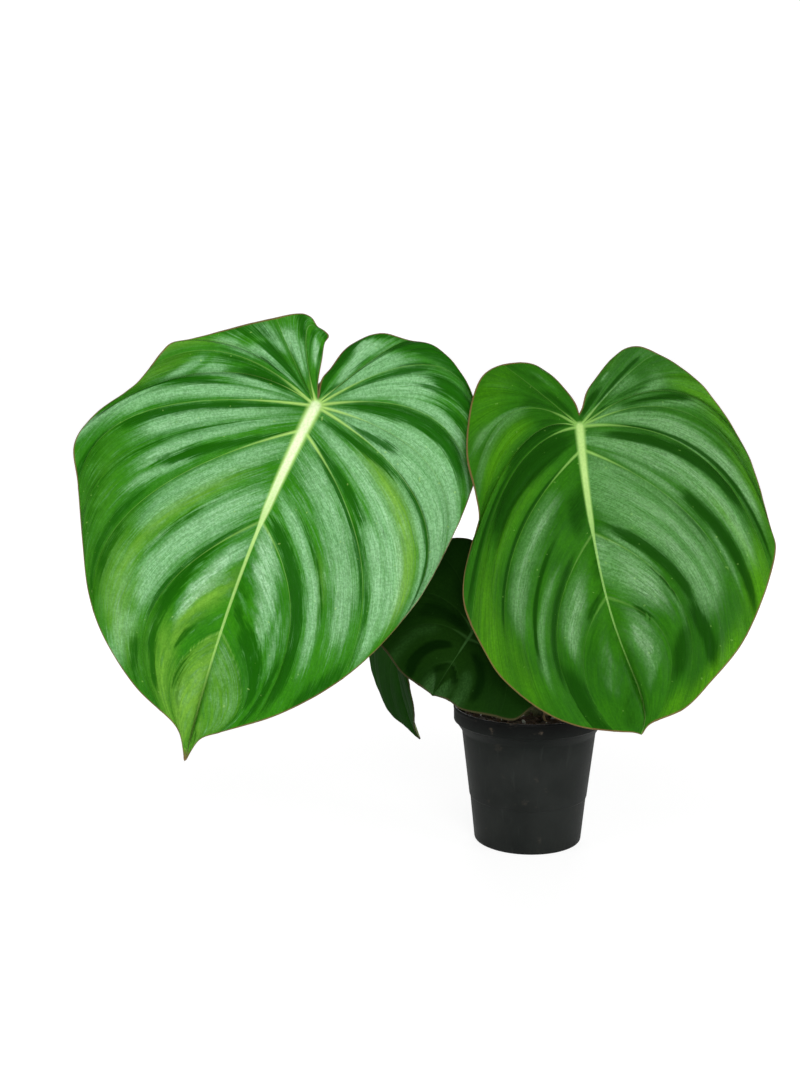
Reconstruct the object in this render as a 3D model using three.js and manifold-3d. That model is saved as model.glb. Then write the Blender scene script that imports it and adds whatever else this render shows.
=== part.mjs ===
// A potted velvet-leaf aroid: four heart-shaped blades on petioles that rise from a short creeping
// stem in a dark nursery pot. Millimetres, +Z up, origin at the middle of the pot's flat bottom.
import * as THREE from "three";
import { ParametricGeometry } from "three/addons/geometries/ParametricGeometry.js";
import { mergeGeometries, mergeVertices } from "three/addons/utils/BufferGeometryUtils.js";
import Module from "manifold-3d";

// Driving dimensions
const POT = {
  height: 97,
  rimRadius: 52.5,
  bandHeight: 10.5,
  shoulderRadius: 46.8,
  shoulderHeight: 7.5,
  footRadius: 37.4,
  footRound: 1.6,
  stepHeight: 32,
  stepDepth: 0.5,
  wall: 1.2,
  floor: 1.8,
};
const DRAIN = { count: 8, radius: 4, ringRadius: 27 };
const SOIL = { top: 86.5, bump: 1.6, rings: 6 };
const GAP = 0.3;
const ROUND_SIDES = 56;
const STEM = {
  radius: 7.5,
  points: [[-25, 18, 85], [-9, 15, 88], [9, 12, 88.5], [24, 9, 92]],
};
const BLADE = {
  thickness: 1, midrib: 1.8, vein: 0.5, alongSteps: 11, marginStep: 10.5, fewestSteps: 3, mostSteps: 12,
};
const PETIOLE_SIDES = 8;

// Each blade: where its petiole meets it, how it is turned, and its margin on both sides of the
// midrib from the notch to the tip, in its own plane (x to the right, tip along -y).
// A vein is [start along the midrib, end along the margin, bow towards the lobes, lean of that bow
// towards the margin]. The hook is how far the midrib swings out just before the tip.
const LEAVES = [
  {
    name: "leaf_1", at: [-146, -30, 308], yaw: 10, pitch: 14, roll: -22,
    length: 246, notch: [0, 5], midribBow: -8, midribHook: 0, edgeEnd: [0.085, 0.095],
    left: [[-4, 15], [-7, 31], [-9, 42], [-8, 47], [-12, 49], [-17, 50], [-23, 54], [-29, 54],
      [-39, 49], [-65, 30], [-90, 12], [-102, 5], [-106, -3], [-114, -29], [-132, -57],
      [-137, -79], [-126, -102], [-110, -136], [-94, -167], [-77, -188], [-46, -212],
      [-15, -226], [-9, -231]],
    right: [[-2, 18], [1, 27], [5, 41], [10, 49], [24, 61], [44, 64], [61, 66], [88, 53],
      [103, 36], [116, 6], [117, -25], [112, -76], [103, -111], [78, -162], [45, -199],
      [14, -222], [4, -230]],
    leftVeins: [[0, 0.111, -0.152, 0.71], [0, 0.179, -0.013, -0.06], [0, 0.371, 0.183, 0.14],
      [0, 0.483, 0.176, -0.09], [0, 0.587, 0.203, 0.32], [0.073, 0.756, 0.186, 0.25],
      [0.343, 0.92, 0.254, 0.17], [0.655, 0.957, 0.255, 0]],
    rightVeins: [[0, 0.174, 0.038, 0.31], [0, 0.321, 0.271, 0.35], [0, 0.437, 0.258, 0.17],
      [0, 0.54, 0.255, 0.17], [0, 0.638, 0.253, 0.18], [0.073, 0.758, 0.146, 0.08],
      [0.343, 0.893, 0.163, -0.03], [0.655, 0.94, 0.219, 0.2]],
    relief: 0.09, fold: 0.1, foldReach: 30, droop: 9, tipCurl: 10, petioleRadius: 3,
    petiole: [[4, 13, 94], [-10, 26, 132], [-38, 38, 174], [-72, 42, 216], [-106, 34, 264],
      [-132, 16, 300], [-141, 0, 316], [-142, -12, 320], [-144, -21, 314], [-146, -29, 304]],
  },
  {
    name: "leaf_2", at: [29, -28, 294], yaw: -6, pitch: 18, roll: 12,
    length: 205, notch: [1, 8], midribBow: -6, midribHook: 7, edgeEnd: [0.1, 0.11],
    left: [[0, 16], [-5, 27], [-12, 38], [-22, 47], [-34, 51], [-46, 51], [-57, 46], [-67, 30],
      [-77, -5], [-76, -31], [-77, -49], [-85, -64], [-94, -85], [-97, -104], [-89, -136],
      [-82, -153], [-59, -180], [-39, -193], [-14, -201], [-5, -203]],
    right: [[4, 12], [9, 22], [18, 31], [30, 41], [42, 46], [53, 43], [76, 22], [90, -1],
      [103, -37], [108, -90], [108, -104], [91, -137], [73, -161], [50, -180], [30, -194],
      [6, -200]],
    leftVeins: [[0, 0.171, 0.012, 0.16], [0, 0.4, 0.372, -0.13], [0, 0.525, 0.188, -0.36],
      [0, 0.645, 0.16, -0.26], [0.075, 0.787, 0.161, 0.02], [0.35, 0.92, 0.183, 0.06],
      [0.56, 0.955, 0.2, 0]],
    rightVeins: [[0, 0.199, 0.048, 0.3], [0, 0.403, 0.272, 0.08], [0, 0.551, 0.293, -0.08],
      [0, 0.642, 0.21, -0.06], [0.075, 0.755, 0.148, 0.07], [0.35, 0.922, 0.237, 0.04],
      [0.56, 0.965, 0.297, -0.05]],
    relief: 0.085, fold: 0.1, foldReach: 30, droop: 8, tipCurl: 12, petioleRadius: 3,
    petiole: [[16, 11, 95], [22, 17, 140], [28, 20, 200], [32, 14, 252], [32, 0, 282],
      [31, -14, 292], [29, -28, 293]],
  },
  {
    name: "leaf_3", at: [-41, -27, 155], yaw: -10, pitch: 33, roll: -28,
    length: 51, notch: [0, 4], midribBow: 0, midribHook: 0, edgeEnd: [0.12, 0.12],
    left: [[-4, 14], [-10, 30], [-20, 46], [-34, 56], [-47, 53], [-59, 41], [-68, 22],
      [-71, 0], [-66, -21], [-57, -36], [-43, -42], [-26, -49], [-15, -50]],
    right: [[3, 14], [9, 30], [18, 46], [30, 56], [44, 57], [57, 48], [66, 30], [68, 10],
      [66, -12], [61, -27], [56, -38], [43, -43], [22, -50], [12, -49]],
    leftVeins: [[0, 0.197, 0.022, 0.07], [0, 0.411, 0.115, 0.1], [0, 0.62, 0.2, 0],
      [0.12, 0.8, 0.25, 0], [0.5, 0.95, 0.2, 0]],
    rightVeins: [[0, 0.22, 0.004, -0.05], [0, 0.45, 0.107, 0.01], [0, 0.62, 0.2, 0],
      [0.12, 0.8, 0.25, 0], [0.5, 0.95, 0.2, 0]],
    relief: 0.08, fold: 0.1, foldReach: 25, droop: 8, tipCurl: 3, petioleRadius: 2.5,
    petiole: [[-8, 14, 95], [-12, 14, 116], [-22, 6, 136], [-34, -10, 151], [-41, -27, 155]],
  },
  {
    name: "leaf_4", at: [-103, 66, 154], yaw: -72, pitch: -8, roll: 17,
    length: 101, notch: [0, 3], midribBow: 2, midribHook: 0, edgeEnd: [0.11, 0.11],
    left: [[-3, 10], [-10, 20], [-22, 27], [-36, 24], [-48, 10], [-54, -10], [-52, -32],
      [-54, -49], [-32, -79], [-9, -92]],
    right: [[3, 10], [10, 20], [21, 26], [34, 22], [45, 9], [50, -10], [49, -32], [40, -52],
      [36, -78], [10, -92]],
    leftVeins: [[0, 0.19, 0.03, 0], [0, 0.46, 0.2, 0], [0.08, 0.7, 0.2, 0], [0.35, 0.9, 0.2, 0]],
    rightVeins: [[0, 0.2, 0.02, 0], [0, 0.46, 0.18, 0], [0.08, 0.69, 0.17, 0], [0.35, 0.9, 0.17, 0]],
    relief: 0.07, fold: 0.24, foldReach: 60, droop: 4, tipCurl: 4, petioleRadius: 2.2,
    petiole: [[-17, 16, 95], [-28, 38, 122], [-52, 60, 146], [-84, 70, 159], [-103, 66, 154]],
  },
];

// Colours and finishes
const FINISH = {
  leaf: { color: 0x2f6b1f, roughness: 0.38 },
  petiole: { color: 0x5f5a30, roughness: 0.5 },
  stem: { color: 0x4a4a24, roughness: 0.7 },
  soil: { color: 0x2a1d14, roughness: 0.95 },
  pot: { color: 0x1e2120, roughness: 0.5 },
};

const wasm = await Module();
wasm.setup();

// Geometry helpers

// One closed geometry: shared vertices merged and collapsed triangles dropped.
function closed(geometry) {
  const bare = geometry.clone();
  bare.deleteAttribute("normal");
  bare.deleteAttribute("uv");
  const merged = mergeVertices(bare, 1e-3);
  const kept = [];
  const index = merged.index.array;
  for (let i = 0; i < index.length; i += 3) {
    const [a, b, c] = index.slice(i, i + 3);
    if (a !== b && b !== c && c !== a) kept.push(a, b, c);
  }
  merged.setIndex(kept);
  return merged;
}

function solid(geometry) {
  const merged = closed(geometry);
  return new wasm.Manifold(new wasm.Mesh({
    numProp: 3,
    vertProperties: merged.attributes.position.array,
    triVerts: new Uint32Array(merged.index.array),
  }));
}

// The largest body of a solid, as a geometry.
function geometryOf(manifold) {
  const bodies = manifold.decompose().sort((a, b) => b.volume() - a.volume());
  const mesh = bodies[0].getMesh();
  const geometry = new THREE.BufferGeometry();
  geometry.setAttribute("position", new THREE.BufferAttribute(mesh.vertProperties, 3));
  geometry.setIndex(Array.from(mesh.triVerts));
  return geometry;
}

function named(name, geometry, finish) {
  const material = new THREE.MeshStandardMaterial({ ...FINISH[finish], metalness: 0 });
  const mesh = new THREE.Mesh(geometry, material);
  mesh.name = name;
  geometry.computeVertexNormals();
  return mesh;
}

function tube(points, radius, sides, steps) {
  const path = new THREE.CatmullRomCurve3(points.map((p) => new THREE.Vector3(...p)));
  const section = new THREE.Shape().absarc(0, 0, radius, 0, 2 * Math.PI);
  return new THREE.ExtrudeGeometry(section, { extrudePath: path, steps, curveSegments: sides / 2 });
}

// Pot and soil

function turned(profile) {
  const points = profile.map(([radius, height]) => new THREE.Vector2(radius, height));
  return new THREE.LatheGeometry(points, ROUND_SIDES).rotateX(Math.PI / 2);
}

// The outer wall's radius at a height below the shoulder.
function wallRadius(height) {
  const top = POT.height - POT.bandHeight - POT.shoulderHeight;
  return POT.footRadius + ((POT.shoulderRadius - POT.footRadius) * height) / top;
}

function potGeometry() {
  const bandBottom = POT.height - POT.bandHeight;
  const shoulderBottom = bandBottom - POT.shoulderHeight;
  const { rimRadius, shoulderRadius, footRadius, footRound, stepHeight, stepDepth, wall } = POT;
  const shell = turned([
    [0, 0],
    [footRadius - footRound, 0],
    [footRadius, footRound],
    [wallRadius(stepHeight) - stepDepth, stepHeight],
    [wallRadius(stepHeight), stepHeight + 1],
    [shoulderRadius, shoulderBottom],
    [rimRadius - 1.4, bandBottom - 0.8],
    [rimRadius, bandBottom],
    [rimRadius, POT.height - 1],
    [rimRadius - 0.7, POT.height],
    [rimRadius - wall, POT.height - 0.4],
    [rimRadius - wall - 0.6, bandBottom + 1],
    [shoulderRadius - wall, shoulderBottom - 0.5],
    [footRadius - wall + 0.2, POT.floor],
    [0, POT.floor],
  ]);
  let body = solid(shell);
  for (let i = 0; i < DRAIN.count; i++) {
    const angle = ((i + 0.5) * 2 * Math.PI) / DRAIN.count;
    const drill = new THREE.CylinderGeometry(DRAIN.radius, DRAIN.radius, 4 * POT.floor, 12)
      .rotateX(Math.PI / 2)
      .translate(DRAIN.ringRadius * Math.cos(angle), DRAIN.ringRadius * Math.sin(angle), 0);
    body = body.subtract(solid(drill));
  }
  return geometryOf(body);
}

// Lumps of the potting mix: a sum of waves that never repeats across the pot.
function soilBump(x, y) {
  return SOIL.bump * (0.5 * Math.sin(0.31 * x + 0.9) * Math.cos(0.27 * y) +
    0.3 * Math.sin(0.53 * y + 0.34 * x) + 0.2 * Math.cos(0.71 * x - 0.45 * y));
}

function soilGeometry(stem) {
  const innerWall = (height) => wallRadius(height) - POT.wall - 2 * GAP;
  const bottom = POT.floor + GAP;
  const shoulderBottom = POT.height - POT.bandHeight - POT.shoulderHeight;
  const edge = innerWall(shoulderBottom) + 1.5;
  const profile = [[0, bottom], [innerWall(bottom) - 0.5, bottom],
    [innerWall(shoulderBottom - 2), shoulderBottom - 2], [edge, SOIL.top - 2]];
  for (let ring = SOIL.rings; ring >= 0; ring--) {
    profile.push([(0.97 * edge * ring) / SOIL.rings, SOIL.top]);
  }
  const geometry = turned(profile);
  const place = geometry.attributes.position;
  for (let i = 0; i < place.count; i++) {
    if (place.getZ(i) > SOIL.top - 0.1) {
      place.setZ(i, SOIL.top + soilBump(place.getX(i), place.getY(i)));
    }
  }
  return geometryOf(solid(geometry).subtract(solid(stem)));
}

// Leaf blades

// One half of a blade, as strips between neighbouring veins. Strip k runs from ray k to ray k + 1.
// Ray 0 is the edge of the notch and the last ray is the tip itself.
class BladeHalf {
  constructor(leaf, side) {
    this.leaf = leaf;
    this.outward = side === "left" ? -1 : 1;
    const outline = [leaf.notch, ...leaf[side], [0, -leaf.length]];
    const points = outline.map(([x, y]) => new THREE.Vector3(x, y, 0));
    this.margin = new THREE.CatmullRomCurve3(points, false, "centripetal");
    this.margin.arcLengthDivisions = 600;
    const edgeEnd = leaf.edgeEnd[side === "left" ? 0 : 1];
    this.rays = [[-1, edgeEnd, 0, 0], ...leaf[`${side}Veins`], [1, 1, 0, 0]];
    this.halfWidth = Math.max(...[...leaf.left, ...leaf.right].map(([x]) => Math.abs(x)));
  }

  marginAt(share) {
    return this.margin.getPointAt(Math.min(share, 1));
  }

  // Along the midrib: -1 at the notch, 0 where the petiole joins and 1 at the tip.
  midribAt(share) {
    const { notch, midribBow, midribHook, length } = this.leaf;
    if (share < 0) return new THREE.Vector3(-notch[0] * share, -notch[1] * share, 0);
    const swing = (4 * midribBow * share + 23.1 * midribHook * share ** 8) * (1 - share);
    return new THREE.Vector3(swing, -length * share, 0);
  }

  // A line from the midrib to the margin, given in the same way as a vein.
  lineAt([start, end, bow, lean], along) {
    const from = this.midribAt(start);
    const to = this.marginAt(end);
    const chord = to.clone().sub(from);
    const lift = new THREE.Vector3(-chord.y, chord.x, 0).multiplyScalar(2 * bow * this.outward);
    const control = from.clone().lerp(to, 0.5 + lean).add(lift);
    return new THREE.QuadraticBezierCurve3(from, control, to).getPoint(along);
  }

  rayAt(k, along) {
    const ray = this.rays[k];
    if (k === 0) return this.marginAt(ray[1] * along);
    return k === this.rays.length - 1 ? this.midribAt(1) : this.lineAt(ray, along);
  }

  // A point of strip k in the blade's plane: the lines turn gradually from one vein to the next,
  // and the strip beside the notch is blended from its four edges.
  planeAt(k, along, across) {
    if (across === 0) return this.rayAt(k, along);
    if (across === 1) return this.rayAt(k + 1, along);
    const next = this.rays[k + 1];
    const line = this.rays[k].map((value, i) => value + (next[i] - value) * across);
    if (k > 0) return this.lineAt(line, along);
    const inner = this.midribAt(line[0]);
    const outer = this.marginAt(line[1]);
    if (along === 0) return inner;
    if (along === 1) return outer;
    const edges = this.rayAt(0, along).lerp(this.rayAt(1, along), across);
    const cornersIn = this.rayAt(0, 0).lerp(this.rayAt(1, 0), across);
    const cornersOut = this.rayAt(0, 1).lerp(this.rayAt(1, 1), across);
    return edges.add(inner.lerp(outer, along)).sub(cornersIn.lerp(cornersOut, along));
  }

  // Height of the upper face over the plane: panels swell between sunken veins, the halves
  // rise a little from the midrib, and the sides and the tip bend back.
  height(k, along, across, point) {
    const { relief, fold, foldReach, droop, tipCurl, length } = this.leaf;
    let swell = 0;
    if (across > 0 && across < 1) {
      const width = this.rayAt(k, along).distanceTo(this.rayAt(k + 1, along));
      const bulge = Math.sin(Math.PI * across) + 0.35 * Math.sin(2 * Math.PI * across);
      const rise = 1 - Math.exp((-along * length) / 36);
      swell = relief * width * bulge * rise * (1 - 0.45 * along ** 3);
    }
    const valley = fold * foldReach * (1 - Math.exp(-Math.abs(point.x) / foldReach));
    const sides = droop * (point.x / this.halfWidth) ** 2;
    const low = Math.max(0, -point.y / length - 0.55) / 0.45;
    return swell + valley - sides - tipCurl * low ** 2;
  }

  thickness(along, across, point) {
    const onMidrib = along === 0 ? BLADE.midrib * (1 + point.y / this.leaf.length) : 0;
    const onVein = across === 0 || across === 1 ? BLADE.vein * (1 - along) : 0;
    return BLADE.thickness + Math.max(onMidrib, onVein);
  }
}

// A patch of surface, turned over by swapping its two directions, which keeps its diagonals.
function patch(surface, steps, otherSteps, turnedOver) {
  if (!turnedOver) return new ParametricGeometry(surface, steps, otherSteps);
  return new ParametricGeometry((b, a, out) => surface(a, b, out), otherSteps, steps);
}

// How many faces lie side by side in strip k: the same on both halves, which share the midrib.
function stepsAcross(leaf, k) {
  const longest = Math.max(...["left", "right"].map((side) => {
    const half = new BladeHalf(leaf, side);
    return (half.rays[k + 1][1] - half.rays[k][1]) * half.margin.getLength();
  }));
  const even = Math.round(longest / BLADE.marginStep);
  return Math.min(BLADE.mostSteps, Math.max(BLADE.fewestSteps, even));
}

// A blade grown by extra millimetres on both faces.
function bladeGeometry(leaf, extra = 0) {
  const patches = [];
  for (const side of ["left", "right"]) {
    const half = new BladeHalf(leaf, side);
    const flip = side === "right";
    // below is 0 on the upper face and 1 on the lower one.
    const at = (k, along, evenAcross, below, out) => {
      const across = evenAcross ** 1.15;
      const point = half.planeAt(k, along, across);
      const top = half.height(k, along, across, point) + extra;
      const depth = half.thickness(along, across, point) + 2 * extra;
      out.set(point.x, point.y, top - below * depth);
    };
    for (let k = 0; k + 1 < half.rays.length; k++) {
      const acrossSteps = stepsAcross(leaf, k);
      const face = (below) => (u, v, out) => at(k, u, v, below, out);
      patches.push(patch(face(0), BLADE.alongSteps, acrossSteps, flip));
      patches.push(patch(face(1), BLADE.alongSteps, acrossSteps, !flip));
      const rim = (below, v, out) => at(k, 1, v, below, out);
      patches.push(patch(rim, 1, acrossSteps, flip));
    }
    const notchEdge = (below, u, out) => at(0, u, 0, below, out);
    patches.push(patch(notchEdge, 1, BLADE.alongSteps, flip));
  }
  return closed(mergeGeometries(patches));
}

// The blade's own axes in the plant's frame.
function bladeFrame(leaf) {
  const tilt = new THREE.Group();
  tilt.position.set(...leaf.at);
  tilt.rotation.set(
    THREE.MathUtils.degToRad(90 - leaf.pitch), 0, THREE.MathUtils.degToRad(leaf.yaw), "ZXY",
  );
  tilt.userData.roll = THREE.MathUtils.degToRad(leaf.roll);
  return tilt;
}

function petioleGeometry(leaf, stem) {
  const length = new THREE.CatmullRomCurve3(
    leaf.petiole.map((p) => new THREE.Vector3(...p))).getLength();
  const stalk = tube(leaf.petiole, leaf.petioleRadius, PETIOLE_SIDES, Math.round(length / 13));
  const frame = bladeFrame(leaf);
  const grown = new THREE.Mesh(bladeGeometry(leaf, GAP));
  grown.rotation.z = frame.userData.roll;
  frame.add(grown);
  frame.updateMatrixWorld(true);
  const blade = grown.geometry.applyMatrix4(grown.matrixWorld);
  return geometryOf(solid(stalk).subtract(solid(blade)).subtract(solid(stem)));
}

// The plant

const plant = new THREE.Group();
const stemGeometry = tube(STEM.points, STEM.radius, 12, 8);
const stemSpace = tube(STEM.points, STEM.radius + GAP, 12, 8);

plant.add(named("pot", potGeometry(), "pot"));
plant.add(named("potting_mix", soilGeometry(stemSpace), "soil"));
plant.add(named("stem", closed(stemGeometry), "stem"));
LEAVES.forEach((leaf, i) => {
  const frame = bladeFrame(leaf);
  const blade = named(leaf.name, bladeGeometry(leaf), "leaf");
  blade.rotation.z = frame.userData.roll;
  frame.add(blade);
  plant.add(frame);
  plant.add(named(`petiole_${i + 1}`, petioleGeometry(leaf, stemSpace), "petiole"));
});

export default plant;
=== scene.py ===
"""A potted aroid with large ribbed heart-shaped leaves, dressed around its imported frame."""
import random
from bisect import bisect_right
from functools import cache, partial, reduce
from math import cos, exp, hypot, pi, radians, sin, sqrt

import bmesh
import bpy
from mathutils import Matrix, Vector, noise


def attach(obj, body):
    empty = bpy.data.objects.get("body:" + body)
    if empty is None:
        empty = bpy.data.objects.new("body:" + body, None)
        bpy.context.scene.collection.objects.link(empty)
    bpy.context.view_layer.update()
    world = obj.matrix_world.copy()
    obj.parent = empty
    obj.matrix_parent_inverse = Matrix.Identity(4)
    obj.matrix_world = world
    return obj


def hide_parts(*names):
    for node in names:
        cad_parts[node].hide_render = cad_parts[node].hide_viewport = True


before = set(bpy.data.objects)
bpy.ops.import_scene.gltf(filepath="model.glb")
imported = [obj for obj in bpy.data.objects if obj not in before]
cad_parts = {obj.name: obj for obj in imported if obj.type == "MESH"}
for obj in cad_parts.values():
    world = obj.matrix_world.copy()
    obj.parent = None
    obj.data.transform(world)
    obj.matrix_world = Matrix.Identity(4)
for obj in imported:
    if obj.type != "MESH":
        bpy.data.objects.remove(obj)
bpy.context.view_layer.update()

MM = 0.001
SEED = 20
# Vertices nearer to one another than this are joined, in millimetres.
WELD = 1e-3
FINE_WELD = 1e-4
# Steps between two points of a smooth curve, and round a corner of a profile
CURVE_STEPS = 16
CORNER_STEPS = 4

# The pot and its filling, in millimetres, as in the frame
POT = {
    "height": 97, "rim_radius": 52.5, "band_height": 10.5, "shoulder_radius": 46.8,
    "shoulder_height": 7.5, "foot_radius": 37.4, "foot_round": 1.6, "step_height": 32,
    "step_depth": 0.5, "wall": 1.2, "floor": 1.8, "sides": 128, "sharp_angle": 50,
}
BAND_FOOT = POT["height"] - POT["band_height"]
SHOULDER_FOOT = BAND_FOOT - POT["shoulder_height"]
DRAIN = {"count": 8, "radius": 4, "ring_radius": 27, "sides": 24}
# The crumbs on the mix are (how many to a millimetre, place in the noise, height). The slack is
# room for the roundings of the pot's inner wall, and loose bits keep the bare edge off the rim.
SOIL = {
    "top": 86.5, "bump": 1.6, "crumbs": ((0.22, 3, 1.1), (0.75, 9, 0.6)), "rings": 44,
    "sides": 120, "gap": 0.4, "wall_slack": 1, "rim_slack": 0.8, "bare_edge": 5,
}
# Loose bits: the ranges that their sizes are drawn from, and how far they tilt or turn. A chip and
# a grain are lifted and made rough by shares of their size, a fibre is lifted by millimetres.
CHIP = {
    "length": (2.4, 8), "width_share": (0.35, 0.7), "height": (0.7, 2), "tilt": (0.35, 0.3),
    "lift": 0.3, "rough": 0.16, "rough_width": 2.5,
}
GRAIN = {"radius": (0.5, 1.7), "lift": 0.4, "rough": 0.14}
FIBRE = {
    "length": (5, 13), "joints": 3, "turn": 0.5, "radius": 0.28, "lift": 0.5, "arch": 1.2,
    "bare_edge": 4,
}
# The bed is what loose bits keep off: half its length, and its middle and half width along y.
STEM = {
    "radius": 7.5, "scars": 6, "bed": (33, 14, 10),
    "points": [(-25, 18, 85), (-9, 15, 88), (9, 12, 88.5), (24, 9, 92)],
}
# Each root: its course and its thickness. Each dry sheath: its foot, heading, length and width.
ROOTS = [
    ([(-6, 10, 90), (-9, 3, 92), (-13, -6, 90), (-16, -13, 85)], 1.3),
    ([(8, 8, 91), (11, 1, 92), (10, -8, 89), (13, -15, 85)], 1.1),
    ([(20, 14, 92), (25, 20, 93), (31, 24, 89), (34, 26, 84)], 1.2),
    ([(-18, 20, 88), (-24, 26, 90), (-29, 29, 87), (-32, 31, 83)], 1.0),
]
SHEATHS = [
    ((19, 14, 90), 35, 26, 4.5), ((0, 17, 91), 100, 21, 4), ((-13, 10, 90), 235, 17, 3.5),
    ((10, 7, 91), 300, 14, 3.5),
]
SHEATH_THICKNESS = 0.3
SHEATH_STEPS = (12, 18)
# A petiole's last stretch goes only this far, so that its end doesn't come through the blade.
LAST_STRETCH = 0.6

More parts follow.
